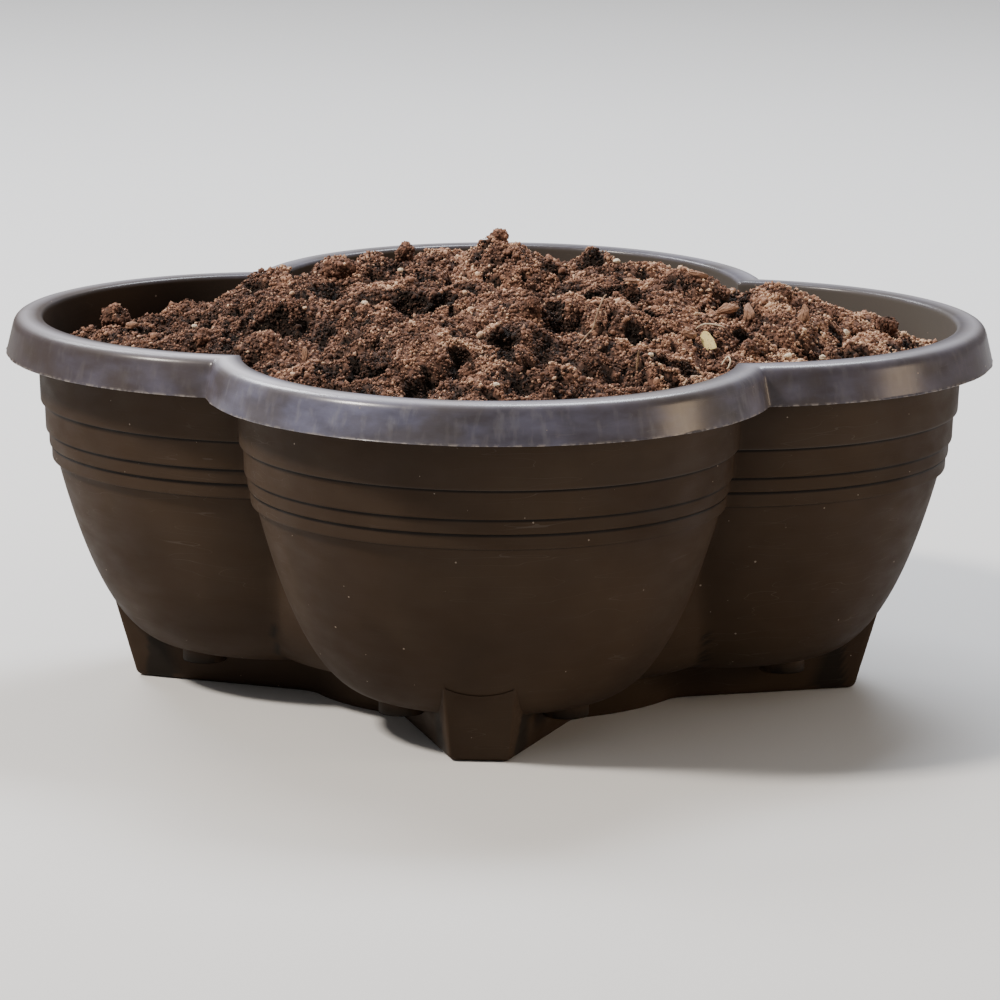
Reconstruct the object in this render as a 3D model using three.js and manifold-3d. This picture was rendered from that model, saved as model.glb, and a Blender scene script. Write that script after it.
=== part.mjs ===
// One tier of a four-lobed stacking planter, filled with potting compost.
// Millimetres, +Z up. The origin is on the ground under the planter's axis,
// and the first lobe points along -Y.
import * as THREE from 'three';
import * as BufferGeometryUtils from 'three/addons/utils/BufferGeometryUtils.js';
import Module from 'manifold-3d';

const wasm = await Module();
wasm.setup();

// Lobes in plan
const lobeCount = 4;
const lobeOffset = 84;
const rimRadius = 106;
const planterHeight = 142;
const wallThickness = 2.6;

// Turned-down rim band
const rimDrop = 14.4;
const rimFlare = 3.2;
const rimOverhang = 11.5;
const rimCrownRadius = 3;
const rimInnerRadius = 1.2;
const rimBandThickness = 2.4;
const rimTopThickness = 2.8;

// Stepped bands of the wall, from the crest down: height of each band, and the step in below it
const wallBands = [
  { height: 33, step: 1.5 },
  { height: 11, step: 1.1 },
  { height: 5.7, step: 0.8 },
  { height: 5.7, step: 1.9 },
];
const wallLean = 0.045;

// Bowl under the bands: its flat floor, and the fullness of the curve that joins floor and wall.
// Upright and lean are shares of the curve's height and width at its top, flat of its width below.
const bowlFloorHeight = 15.2;
const bowlFloorRadius = 43;
const bowlFullness = { upright: 0.53, lean: 0.225, flat: 0.455 };

// Middle bowl that shows between the lobes. Its wall stands inside the seams of the lobes.
const coreSeamInset = 10.5;
const coreFloorRadius = 84;
const coreShoulderDrop = 20.4;
const coreFullness = { upright: 0.51, lean: 0.14, flat: 0.71 };

// Base skirt: a drum with a tapered fin out to the foot under each lobe
const drumRadius = 76;
const footReach = 139;
const footHalfWidth = 10.8;
const footHeight = 28;
const footEndDraft = 0.28;
const skirtSideDraft = 0.094;
const finSpread = 0.323;
const skirtThickness = 2.6;

// Drain holes, one on each side of every fin, each in a short collar
const drainReach = 111;
const drainSpacing = 61;
const drainRadius = 5.5;
const drainCollarThickness = 3;
const drainCollarDrop = 3.4;

// Compost and what lies on it
const fillGap = 0.3;
const seatGap = 0.3;
const compostFreeboard = 15;
const domeHeight = 28;
const domeRadius = 125;
const domeEdge = 5;
const domeShift = 6;
const wallDip = 8;
const wallDipWidth = 15;
const hummockSize = 30;
const hummockHeight = 5;
const moundSize = 23;
const moundHeight = 9.5;
const moundMean = 0.55;
const moundRadius = { least: 0.4, spread: 0.6 };

// Repeatable random values: factors of the two cell numbers, shift of the mounds' pattern, and spread
const firstPattern = [127.1, 311.7];
const secondPattern = [269.5, 183.3];
const thirdPattern = [419.2, 371.9];
const moundPatternShift = 30;
const patternSpread = 43758.5453;

// Fineness of the facets
const lobeSegments = 36;
const curveSteps = 5;
const roundSteps = 2;
const collarSegments = 12;
const soilCell = 8;
const clodDetail = 1;
const grainDetail = 1;
const lumpRipples = 6;
const fibreSides = 5;
const fibreSteps = 9;

// How far a cutting solid runs past what it cuts
const overrun = 10;

// Low hills and hollows of the compost. Spots are in shares of the fill's reach from the middle,
// rise and spread in shares of a hill's usual height and radius.
const hillHeight = 10;
const hillRadius = 15;
const hills = [
  { at: [-0.017, 0.33], rise: 1.15, spread: 1 },
  { at: [-0.359, 0.342], rise: 0.4, spread: 1 },
  { at: [0.177, 0.347], rise: 0.7, spread: 0.87 },
  { at: [-0.171, -0.114], rise: 0.3, spread: 1.07 },
  { at: [0.256, -0.142], rise: 0.3, spread: 0.93 },
  { at: [0.655, 0.103], rise: 0.45, spread: 1.07 },
  { at: [0.837, 0.216], rise: 0.3, spread: 1.07 },
  { at: [-0.786, 0.239], rise: -0.4, spread: 1.07 },
  { at: [-0.194, 0.342], rise: -0.3, spread: 0.67 },
  { at: [-0.79, 0.36], rise: -0.5, spread: 0.8 },
];

// Clods on the compost. The lift is how far the clod's middle stands above the surface.
const clodRoughness = 0.09;
const clods = [
  { name: 'clod_left_end', at: [-0.854, 0.08], size: [15, 13, 11], lift: 2.6, turn: 20 },
  { name: 'clod_left_front', at: [-0.626, -0.29], size: [9, 8, 6.5], lift: 1.6, turn: 50 },
  { name: 'clod_left_ridge', at: [-0.678, 0.137], size: [11, 9, 7], lift: 1.6, turn: 0 },
  { name: 'clod_back_left', at: [-0.359, 0.262], size: [18, 12, 9], lift: 1.6, turn: 8 },
  { name: 'clod_back_middle', at: [-0.228, 0.353], size: [12, 10, 8], lift: 1.4, turn: 70 },
  { name: 'clod_summit', at: [-0.02, 0.32], size: [10, 9, 7], lift: 1.6, turn: 30 },
  { name: 'clod_middle', at: [0.08, -0.325], size: [11, 9, 8], lift: 2, turn: 100 },
  { name: 'clod_right_peak', at: [0.621, 0.103], size: [8, 7, 7], lift: 1.8, turn: 15 },
  { name: 'clod_right_front', at: [0.552, -0.347], size: [9, 8, 7], lift: 2, turn: 65 },
  { name: 'clod_right_end', at: [0.854, 0.171], size: [10, 9, 8], lift: 2, turn: 0 },
  { name: 'clod_front', at: [-0.034, -0.695], size: [8, 7, 5.5], lift: 1.4, turn: 40 },
  { name: 'clod_back_right', at: [0.308, 0.33], size: [12, 9, 7], lift: 1.4, turn: 160 },
];

// Bark chips and a husk: size as length, width and thickness, and tilts in degrees
const chipOutline = [[-0.5, -0.2], [-0.2, -0.5], [0.3, -0.45], [0.5, 0.15], [0.22, 0.5], [-0.34, 0.42]];
const chipUnevenness = 0.12;
const barkChips = [
  { name: 'bark_chip_long', at: [0.501, -0.08], size: [9, 3.6, 2], lift: 1, turn: 24, tilt: [12, -8] },
  { name: 'bark_chip_round', at: [0.547, -0.12], size: [8, 3.4, 2.6], lift: 2, turn: 100, tilt: [0, -48] },
  { name: 'bark_chip_upright', at: [0.666, -0.148], size: [7.5, 3.8, 2], lift: 2, turn: 70, tilt: [10, -62] },
  { name: 'bark_chip_pale', at: [0.29, -0.142], size: [5.4, 3, 1.8], lift: 1, turn: -10, tilt: [8, 6] },
  { name: 'bark_chip_back', at: [0.433, 0.017], size: [7.6, 3.4, 2], lift: 1.2, turn: 12, tilt: [-10, 10] },
  { name: 'bark_chip_left', at: [-0.803, -0.046], size: [5, 3, 1.8], lift: 0.9, turn: -15, tilt: [14, 4] },
  { name: 'bark_chip_orange', at: [0.416, -0.376], size: [4.6, 4, 3], lift: 1.2, turn: 30, tilt: [10, 0] },
  { name: 'seed_husk', at: [-0.393, -0.461], size: [5.4, 2.4, 1.4], lift: 1.6, turn: 78, tilt: [0, -66] },
];

// Perlite grains
const perliteFlattening = 0.8;
const perliteRoughness = 0.07;
const perliteLift = 0.25;
const perliteGrains = [
  { name: 'perlite_left', at: [-0.279, -0.262], size: 2.6 },
  { name: 'perlite_left_lobe', at: [-0.655, -0.165], size: 2.4 },
  { name: 'perlite_middle_back', at: [-0.228, 0.171], size: 2.6 },
  { name: 'perlite_back', at: [0.251, 0.216], size: 3 },
  { name: 'perlite_front', at: [0.028, -0.786], size: 2.6 },
  { name: 'perlite_front_right', at: [0.342, -0.547], size: 2.4 },
  { name: 'perlite_right_near', at: [0.632, -0.296], size: 3.2 },
  { name: 'perlite_right_middle', at: [0.706, -0.268], size: 3 },
  { name: 'perlite_right_far', at: [0.757, -0.08], size: 3.6 },
];

// Lying fibres: the route's points are in shares of the length from the fibre's spot, the last one up
const leafFibreLength = 11;
const archedFibreLength = 51;
const curledFibreLength = 10;
const fibres = [
  {
    name: 'fibre_by_leaf',
    at: [0.433, -0.319],
    radius: 0.35,
    length: leafFibreLength,
    route: [[0, 0, 0], [0.27, 0.05, 0.05], [0.64, 0, 0.05], [1, 0.09, 0]],
  },
  {
    name: 'fibre_arched',
    at: [0.188, -0.501],
    radius: 0.3,
    length: archedFibreLength,
    route: [[0, 0, 0], [0.08, 0.35, 0.03], [0.16, 0.71, 0.03], [0.18, 0.98, 0]],
  },
  {
    name: 'fibre_curl',
    at: [0.49, -0.461],
    radius: 0.35,
    length: curledFibreLength,
    route: [[0, 0, 0], [0.25, 0.3, 0.08], [0.35, 0, 0.12], [0.2, -0.3, 0.04]],
  },
];
const stalk = { name: 'stalk', at: [0.313, -0.587], radius: 0.4, height: 8, bend: 0.8 };

// Curled leaf fragment that stands on its lower edge
const leafOutline = [[-0.32, -0.5], [0.5, -0.46], [0.42, 0.1], [0.1, 0.5], [-0.36, 0.4], [-0.5, -0.1]];
const leaf = {
  name: 'leaf_fragment',
  at: [0.461, -0.37],
  width: 6.2,
  length: 7.6,
  thickness: 0.6,
  curlRadius: 9,
  lift: 2.3,
  turn: -8,
  tilt: [62, 0],
};

// Radii and heights worked out from the sizes above. At the shoulder the lobes meet at the seam's reach.
const wallTopRadius = rimRadius - rimOverhang;
const rimBottom = planterHeight - rimDrop;
const rimTopRadius = rimRadius - rimFlare;
const rimUnderside = planterHeight - rimTopThickness;
const shoulderHeight = planterHeight - wallBands.reduce((sum, band) => sum + band.height, 0);
const shoulderRadius = wallBands.reduce((radius, band) => (
  radius - wallLean * band.height - band.step
), wallTopRadius);
const seamAngle = Math.PI / lobeCount;
const seamReach = lobeOffset * Math.cos(seamAngle)
  + Math.sqrt(shoulderRadius ** 2 - (lobeOffset * Math.sin(seamAngle)) ** 2);
const coreRadius = seamReach - coreSeamInset;
const fillReach = lobeOffset + wallTopRadius - wallThickness - fillGap;
const soilReach = lobeOffset + rimRadius;
const soilCells = Math.ceil((2 * soilReach) / soilCell);
const soilPitch = (2 * soilReach) / soilCells;

const finishes = {
  planter: new THREE.MeshStandardMaterial({ color: 0x2b2522, roughness: 0.62, metalness: 0 }),
  compost: new THREE.MeshStandardMaterial({ color: 0x3a2419, roughness: 1 }),
  clod: new THREE.MeshStandardMaterial({ color: 0x4a2f22, roughness: 1 }),
  bark: new THREE.MeshStandardMaterial({ color: 0x6e4630, roughness: 0.85 }),
  perlite: new THREE.MeshStandardMaterial({ color: 0xd9cdb4, roughness: 0.9 }),
  fibre: new THREE.MeshStandardMaterial({ color: 0x9a7650, roughness: 0.8 }),
  leaf: new THREE.MeshStandardMaterial({ color: 0xc9c25c, roughness: 0.6 }),
};

// Angle in plan of each lobe's axis, starting at -Y
const lobeAngles = Array.from({ length: lobeCount }, (_, k) => -Math.PI / 2 + (k * 2 * Math.PI) / lobeCount);
const lobeAxes = lobeAngles.map((angle) => ({
  x: lobeOffset * Math.cos(angle),
  y: lobeOffset * Math.sin(angle),
}));

// Closed mesh to boolean solid
function toSolid(geometry) {
  const bare = geometry.clone();
  bare.deleteAttribute('normal');
  bare.deleteAttribute('uv');
  const merged = BufferGeometryUtils.mergeVertices(bare, 1e-4);
  return new wasm.Manifold(new wasm.Mesh({
    numProp: 3,
    vertProperties: new Float32Array(merged.attributes.position.array),
    triVerts: new Uint32Array(merged.index.array),
  }));
}

// Boolean solid to mesh geometry
function toGeometry(solid) {
  const mesh = solid.getMesh();
  const geometry = new THREE.BufferGeometry();
  geometry.setAttribute('position', new THREE.BufferAttribute(new Float32Array(mesh.vertProperties), 3));
  geometry.setIndex(new THREE.BufferAttribute(new Uint32Array(mesh.triVerts), 1));
  geometry.computeVertexNormals();
  return geometry;
}

function joined(solids) {
  return solids.reduce((whole, solid) => whole.add(solid));
}

// Solid of revolution round +Z from [radius, height] points that run up from the axis and back to it
function turned(profile, segments) {
  const points = profile.map(([radius, height]) => new THREE.Vector2(radius, height));
  const geometry = new THREE.LatheGeometry(points, segments);
  geometry.rotateX(Math.PI / 2);
  return toSolid(geometry);
}

// The same turned solid standing on every lobe's axis
function onEachLobe(profile) {
  const one = turned(profile, lobeSegments);
  return joined(lobeAxes.map((axis) => one.translate([axis.x, axis.y, 0])));
}

// Solid between two outlines with the same number of corners, listed anticlockwise from above
function lofted(lower, lowerHeight, upper, upperHeight) {
  const count = lower.length;
  const corners = [
    ...lower.flatMap(([x, y]) => [x, y, lowerHeight]),
    ...upper.flatMap(([x, y]) => [x, y, upperHeight]),
  ];
  const faces = [];
  for (let i = 0; i < count; i += 1) {
    const next = (i + 1) % count;
    faces.push(i, next, count + next, i, count + next, count + i);
  }
  for (let i = 1; i < count - 1; i += 1) {
    faces.push(0, i + 1, i, count, count + i, count + i + 1);
  }
  const geometry = new THREE.BufferGeometry();
  geometry.setAttribute('position', new THREE.Float32BufferAttribute(corners, 3));
  geometry.setIndex(faces);
  return toSolid(geometry);
}

// Points of a bowl's curve, from its flat floor up to its shoulder, moved inwards by an inset
function bowlCurve(shoulder, floor, fullness, inset) {
  const [shoulderRadius, top] = shoulder;
  const [floorRadius, bottom] = floor;
  const width = shoulderRadius - floorRadius;
  const curve = new THREE.CubicBezierCurve(
    new THREE.Vector2(floorRadius, bottom),
    new THREE.Vector2(floorRadius + fullness.flat * width, bottom),
    new THREE.Vector2(shoulderRadius - fullness.lean * width, top - fullness.upright * (top - bottom)),
    new THREE.Vector2(shoulderRadius, top),
  );
  return Array.from({ length: curveSteps + 1 }, (_, i) => {
    const at = curve.getPoint(i / curveSteps);
    const along = curve.getTangent(i / curveSteps);
    return [at.x - along.y * inset, at.y + along.x * inset];
  });
}

// Outline of one lobe, from the middle of its floor up to its top, moved inwards by an inset.
// Under a band the wall steps in. An inset step sits higher, which keeps the wall's thickness.
function lobeProfile(inset, top) {
  const bands = [];
  let radius = wallTopRadius;
  let height = planterHeight;
  for (const band of wallBands) {
    const lowerRadius = radius - wallLean * band.height;
    bands.unshift([lowerRadius - inset, height - band.height + inset], [radius - inset, height + inset]);
    radius = lowerRadius - band.step;
    height -= band.height;
  }
  bands[bands.length - 1] = [wallTopRadius - inset, top];
  const bowl = bowlCurve([radius, height], [bowlFloorRadius, bowlFloorHeight], bowlFullness, inset);
  const underBands = inset > 0 ? [[radius - inset, height + inset]] : [];
  return [[0, bowlFloorHeight + inset], ...bowl, ...underBands, ...bands, [0, top]];
}

// Outline of the middle bowl. Above the lobes' shoulder only its narrow middle goes on up to the top.
function coreProfile(inset, top) {
  const shoulder = [coreRadius, shoulderHeight - coreShoulderDrop];
  const bowl = bowlCurve(shoulder, [coreFloorRadius, bowlFloorHeight], coreFullness, inset);
  return [
    [0, bowlFloorHeight + inset],
    ...bowl,
    [coreRadius - inset, shoulderHeight],
    [coreFloorRadius - inset, shoulderHeight],
    [coreFloorRadius - inset, top],
    [0, top],
  ];
}

// The lobes and the middle bowl as one solid, moved inwards by an inset
function bowls(inset, top) {
  return onEachLobe(lobeProfile(inset, top)).add(turned(coreProfile(inset, top), lobeSegments));
}

// Quarter round of the crest, as [radius, height] points from the outside up to the flat top
function crownRound(outerRadius, round) {
  return Array.from({ length: roundSteps + 1 }, (_, i) => {
    const angle = (i / roundSteps) * (Math.PI / 2);
    return [
      outerRadius - round + round * Math.cos(angle),
      planterHeight - round + round * Math.sin(angle),
    ];
  });
}

// Space inside the planter, with the rounded inner edge of the crest
function cavity() {
  const mouth = onEachLobe([
    [0, planterHeight - rimInnerRadius],
    [wallTopRadius - wallThickness, planterHeight - rimInnerRadius],
    [wallTopRadius - wallThickness + rimInnerRadius, planterHeight],
    [wallTopRadius - wallThickness + rimInnerRadius, planterHeight + overrun],
    [0, planterHeight + overrun],
  ]);
  return joined([bowls(wallThickness, planterHeight), mouth]);
}

// Rim band with the downward-facing groove between it and the wall
function rim() {
  const outside = onEachLobe([
    [0, rimBottom],
    [rimRadius, rimBottom],
    ...crownRound(rimTopRadius, rimCrownRadius),
    [0, planterHeight],
  ]);
  const lean = (rimFlare * (rimDrop - rimTopThickness)) / (rimDrop - rimCrownRadius);
  const inside = onEachLobe([
    [0, rimBottom - overrun],
    [rimRadius - rimBandThickness, rimBottom - overrun],
    [rimRadius - rimBandThickness, rimBottom],
    [rimRadius - rimBandThickness - lean, rimUnderside],
    [0, rimUnderside],
  ]);
  return outside.subtract(inside);
}

// Corners of one fin in plan at a height, pointing along +X, moved inwards by an inset
function finOutline(height, inset) {
  const end = footReach + footEndDraft * height - inset;
  const root = drumRadius / 2;
  const widen = skirtSideDraft * height - inset * Math.hypot(1, finSpread);
  const halfAt = (reach) => footHalfWidth + widen + finSpread * (footReach - reach);
  return [
    [end, -halfAt(footReach)],
    [end, halfAt(footReach)],
    [root, halfAt(root)],
    [root, -halfAt(root)],
  ];
}

// Star-shaped block of the base, from one height to another, moved inwards by an inset
function baseStar(bottom, top, inset) {
  const fin = lofted(finOutline(bottom, inset), bottom, finOutline(top, inset), top);
  const fins = lobeAngles.map((angle) => fin.rotate([0, 0, THREE.MathUtils.radToDeg(angle)]));
  const drum = turned([
    [0, bottom],
    [drumRadius + skirtSideDraft * bottom - inset, bottom],
    [drumRadius + skirtSideDraft * top - inset, top],
    [0, top],
  ], lobeSegments);
  return joined([...fins, drum]);
}

// Base skirt: the star's wall, open underneath. Its top is inside the bowls.
function baseSkirt() {
  const outside = baseStar(0, footHeight, 0);
  const inside = baseStar(-overrun, footHeight - skirtThickness, skirtThickness);
  return outside.subtract(inside);
}

// Upright cylinder at each drain hole, from a height up into the bowl
function drainPosts(radius, bottom) {
  const top = bowlFloorHeight + overrun;
  const post = turned([[0, bottom], [radius, bottom], [radius, top], [0, top]], collarSegments);
  const pair = [-drainSpacing / 2, drainSpacing / 2].map((side) => post.translate([drainReach, side, 0]));
  const posts = lobeAngles.flatMap((angle) => (
    pair.map((one) => one.rotate([0, 0, THREE.MathUtils.radToDeg(angle)]))
  ));
  return joined(posts);
}

function planterBody() {
  const wall = bowls(0, planterHeight - rimTopThickness / 2);
  const collars = drainPosts(drainRadius + drainCollarThickness, bowlFloorHeight - drainCollarDrop);
  const holes = drainPosts(drainRadius, -overrun);
  return joined([wall, rim(), baseSkirt(), collars]).subtract(cavity()).subtract(holes);
}

// Repeatable random value from 0 to 1 for a cell of a pattern
function cellValue(i, j, [across, along], shift) {
  const spread = Math.sin(i * across + j * along + shift) * patternSpread;
  return spread - Math.floor(spread);
}

// Smooth lumps of about unit size, from -0.5 to 0.5
function hummocks(x, y) {
  const i = Math.floor(x);
  const j = Math.floor(y);
  const u = THREE.MathUtils.smoothstep(x - i, 0, 1);
  const v = THREE.MathUtils.smoothstep(y - j, 0, 1);
  const corner = (across, along) => cellValue(i + across, j + along, firstPattern, 0);
  const near = THREE.MathUtils.lerp(corner(0, 0), corner(1, 0), u);
  const far = THREE.MathUtils.lerp(corner(0, 1), corner(1, 1), u);
  return THREE.MathUtils.lerp(near, far, v) - 0.5;
}

// Packed mounds about one apart, from 0 between them to 1 on the largest. Every cell of a unit grid
// holds one, at a random spot in it and with a random radius.
function mounds(x, y) {
  let highest = 0;
  for (const across of [-1, 0, 1]) {
    for (const along of [-1, 0, 1]) {
      const i = Math.floor(x) + across;
      const j = Math.floor(y) + along;
      const awayX = x - i - cellValue(i, j, firstPattern, moundPatternShift);
      const awayY = y - j - cellValue(i, j, secondPattern, moundPatternShift);
      const size = cellValue(i, j, thirdPattern, moundPatternShift);
      const radius = moundRadius.least + moundRadius.spread * size;
      highest = Math.max(highest, radius * (1 - (awayX ** 2 + awayY ** 2) / radius ** 2));
    }
  }
  return highest;
}

// Place in plan, in millimetres, of a spot given in shares of the fill's reach
function spot([across, along]) {
  return { x: across * fillReach, y: along * fillReach };
}

// Height of the compost's surface: a broad dome that dips at the wall, with hills, hollows and mounds
function compostHeight(x, y) {
  const fromMiddle = Math.hypot(x - domeShift, y);
  const dome = domeHeight / (1 + (fromMiddle / domeRadius) ** domeEdge);
  const toWall = Math.max(0, ...lobeAxes.map((axis) => (
    wallTopRadius - wallThickness - Math.hypot(x - axis.x, y - axis.y)
  )));
  const dip = wallDip * Math.exp(-toWall / wallDipWidth);
  const rise = hills.reduce((sum, hill) => {
    const top = spot(hill.at);
    const away = Math.hypot(x - top.x, y - top.y) / (hillRadius * hill.spread);
    return sum + hillHeight * hill.rise * Math.exp(-(away ** 2));
  }, 0);
  const rough = hummockHeight * hummocks(x / hummockSize, y / hummockSize)
    + moundHeight * (mounds(x / moundSize, y / moundSize) - moundMean);
  return planterHeight - compostFreeboard + dome - dip + rise + rough;
}

// Height of the facet that stands for the compost's surface at a place. A cell has two facets, which
// meet along the line from its first corner to its last.
function facetHeight(x, y) {
  const across = (x + soilReach) / soilPitch;
  const along = (y + soilReach) / soilPitch;
  const u = across - Math.floor(across);
  const v = along - Math.floor(along);
  const corner = (i, j) => compostHeight(x + (i - u) * soilPitch, y + (j - v) * soilPitch);
  const middle = u > v ? corner(1, 0) : corner(0, 1);
  const near = Math.max(u, v);
  const far = Math.min(u, v);
  return corner(0, 0) * (1 - near) + middle * (near - far) + corner(1, 1) * far;
}

// Block under the compost's surface, as wide as the planter, with its top raised by a lift
function soilBlock(lift) {
  const cells = soilCells;
  const side = cells + 1;
  const corners = [];
  for (const layer of ['floor', 'surface']) {
    for (let j = 0; j < side; j += 1) {
      for (let i = 0; i < side; i += 1) {
        const x = -soilReach + i * soilPitch;
        const y = -soilReach + j * soilPitch;
        corners.push(x, y, layer === 'floor' ? -overrun : compostHeight(x, y) + lift);
      }
    }
  }
  const top = side * side;
  const faces = [];
  for (let j = 0; j < cells; j += 1) {
    for (let i = 0; i < cells; i += 1) {
      const a = j * side + i;
      const b = a + 1;
      const c = b + side;
      const d = a + side;
      faces.push(a, c, b, a, d, c);
      faces.push(top + a, top + b, top + c, top + a, top + c, top + d);
    }
  }
  for (let i = 0; i < cells; i += 1) {
    const back = cells * side + i;
    const left = i * side;
    const right = left + cells;
    faces.push(i, i + 1, top + i + 1, i, top + i + 1, top + i);
    faces.push(back + 1, back, top + back, back + 1, top + back, top + back + 1);
    faces.push(left + side, left, top + left, left + side, top + left, top + left + side);
    faces.push(right, right + side, top + right + side, right, top + right + side, top + right);
  }
  const geometry = new THREE.BufferGeometry();
  geometry.setAttribute('position', new THREE.Float32BufferAttribute(corners, 3));
  geometry.setIndex(faces);
  return toSolid(geometry);
}

// Compost fills the bowls up to its surface, and its clearance all round is the fill gap
function compostFill() {
  const top = planterHeight + domeHeight + overrun;
  return bowls(wallThickness + fillGap, top).intersect(soilBlock(0));
}

// Rounded lump with an uneven surface, centred on the origin
function lumpGeometry(size, detail, seed, roughness) {
  const geometry = new THREE.IcosahedronGeometry(0.5, detail);
  const position = geometry.attributes.position;
  const at = new THREE.Vector3();
  for (let i = 0; i < position.count; i += 1) {
    at.fromBufferAttribute(position, i);
    const ripple = Math.sin(lumpRipples * at.x + seed) * Math.cos(lumpRipples * at.y - seed)
      + Math.sin(lumpRipples * at.z + 2 * seed);
    at.multiplyScalar(1 + roughness * ripple);
    position.setXYZ(i, at.x * size[0], at.y * size[1], at.z * size[2]);
  }
  return geometry;
}

// Flat plate with an outline given in shares of its length and width
function plateGeometry(outline, length, width, thickness) {
  const corners = outline.map(([along, across]) => new THREE.Vector2(along * length, across * width));
  const geometry = new THREE.ExtrudeGeometry(new THREE.Shape(corners), {
    depth: thickness,
    bevelEnabled: false,
  });
  geometry.translate(0, 0, -thickness / 2);
  return geometry;
}

// Chip of bark, with a slightly different outline for each seed
function chipGeometry([length, width, thickness], seed) {
  const outline = chipOutline.map(([along, across], k) => [
    along * (1 + chipUnevenness * Math.sin(seed * (k + 1))),
    across,
  ]);
  return plateGeometry(outline, length, width, thickness);
}

// Leaf fragment, curled about its length
function leafGeometry() {
  const geometry = plateGeometry(leafOutline, leaf.width, leaf.length, leaf.thickness);
  const position = geometry.attributes.position;
  for (let i = 0; i < position.count; i += 1) {
    const x = position.getX(i);
    position.setZ(i, position.getZ(i) + (x * x) / (2 * leaf.curlRadius));
  }
  return geometry;
}

// Tube of small radius along a smooth route
function fibreGeometry(points, radius) {
  const section = new THREE.Shape(Array.from({ length: fibreSides }, (_, i) => {
    const angle = (i * 2 * Math.PI) / fibreSides;
    return new THREE.Vector2(radius * Math.cos(angle), radius * Math.sin(angle));
  }));
  const path = new THREE.CatmullRomCurve3(points);
  return new THREE.ExtrudeGeometry(section, { steps: fibreSteps, extrudePath: path, bevelEnabled: false });
}

// Route of a lying fibre along the surface, with its underside just clear of it
function lyingRoute(fibre) {
  const start = spot(fibre.at);
  const guide = new THREE.CatmullRomCurve3(fibre.route.map((step) => (
    new THREE.Vector3(...step).multiplyScalar(fibre.length)
  )));
  return guide.getPoints(fibreSteps).map((step) => {
    const x = start.x + step.x;
    const y = start.y + step.y;
    return new THREE.Vector3(x, y, facetHeight(x, y) + seatGap + fibre.radius + step.z);
  });
}

// Route of the stalk, from just under the surface up to its bent tip
function stalkRoute() {
  const { x, y } = spot(stalk.at);
  const foot = facetHeight(x, y) - stalk.radius;
  return [0, 1 / 3, 2 / 3, 1].map((part) => (
    new THREE.Vector3(x + stalk.bend * part * part, y, foot + part * stalk.height)
  ));
}

// A piece turned, set down at its spot, and cut where the compost's surface meets it
function seated(geometry, place) {
  const { x, y } = spot(place.at);
  const [tiltX, tiltY] = place.tilt ?? [0, 0];
  const placed = geometry.clone();
  placed.rotateX(THREE.MathUtils.degToRad(tiltX));
  placed.rotateY(THREE.MathUtils.degToRad(tiltY));
  placed.rotateZ(THREE.MathUtils.degToRad(place.turn ?? 0));
  placed.translate(x, y, facetHeight(x, y) + seatGap + place.lift);
  return toSolid(placed).subtract(soilSeat);
}

const planter = new THREE.Group();

function addPiece(name, solid, finish) {
  const mesh = new THREE.Mesh(toGeometry(solid), finish);
  mesh.name = name;
  planter.add(mesh);
}

const soilSeat = soilBlock(seatGap);

addPiece('planter_body', planterBody(), finishes.planter);
addPiece('compost_fill', compostFill(), finishes.compost);

clods.forEach((clod, k) => {
  const shape = lumpGeometry(clod.size, clodDetail, k + 1, clodRoughness);
  addPiece(clod.name, seated(shape, clod), finishes.clod);
});

barkChips.forEach((chip, k) => {
  addPiece(chip.name, seated(chipGeometry(chip.size, k + 1), chip), finishes.bark);
});

perliteGrains.forEach((grain, k) => {
  const size = [grain.size, grain.size, grain.size * perliteFlattening];
  const shape = lumpGeometry(size, grainDetail, k + 1, perliteRoughness);
  addPiece(grain.name, seated(shape, { at: grain.at, lift: grain.size * perliteLift }), finishes.perlite);
});

for (const fibre of fibres) {
  const shape = fibreGeometry(lyingRoute(fibre), fibre.radius);
  addPiece(fibre.name, toSolid(shape).subtract(soilSeat), finishes.fibre);
}

addPiece(stalk.name, toSolid(fibreGeometry(stalkRoute(), stalk.radius)).subtract(soilSeat), finishes.fibre);
addPiece(leaf.name, seated(leafGeometry(), leaf), finishes.leaf);

export default planter;
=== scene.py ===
"""Looks of a four-lobed stacking planter filled with potting compost.

Every piece is a surface worked out with numpy, in millimetres, in the planter's own frame: +Z up, the
origin on the ground under the planter's axis, and the first lobe along -Y. The planter's body is one
closed moulding. The compost is a bed of soft lumps with thousands of crumbs on it, and the loose clods,
chips, grains and fibres lie where the frame has them.
"""

from __future__ import annotations

import logging
import math
from dataclasses import dataclass, field
from enum import Enum
from typing import Callable, Sequence

import bpy
import numpy as np
from mathutils import Matrix, Vector

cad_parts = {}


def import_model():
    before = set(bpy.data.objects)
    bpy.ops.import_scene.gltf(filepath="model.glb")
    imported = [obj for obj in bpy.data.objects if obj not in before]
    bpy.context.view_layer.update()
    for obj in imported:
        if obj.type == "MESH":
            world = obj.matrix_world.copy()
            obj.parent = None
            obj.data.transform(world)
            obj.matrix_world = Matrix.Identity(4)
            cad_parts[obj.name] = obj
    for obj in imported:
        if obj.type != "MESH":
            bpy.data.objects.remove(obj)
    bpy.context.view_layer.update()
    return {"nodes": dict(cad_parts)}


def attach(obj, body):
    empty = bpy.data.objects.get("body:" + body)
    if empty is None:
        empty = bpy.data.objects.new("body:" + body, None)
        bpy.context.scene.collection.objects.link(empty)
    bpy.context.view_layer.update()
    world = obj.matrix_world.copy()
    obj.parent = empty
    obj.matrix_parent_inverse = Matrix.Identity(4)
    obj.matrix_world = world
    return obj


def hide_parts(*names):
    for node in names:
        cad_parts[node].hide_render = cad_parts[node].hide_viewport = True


log = logging.getLogger("planter")

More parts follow.
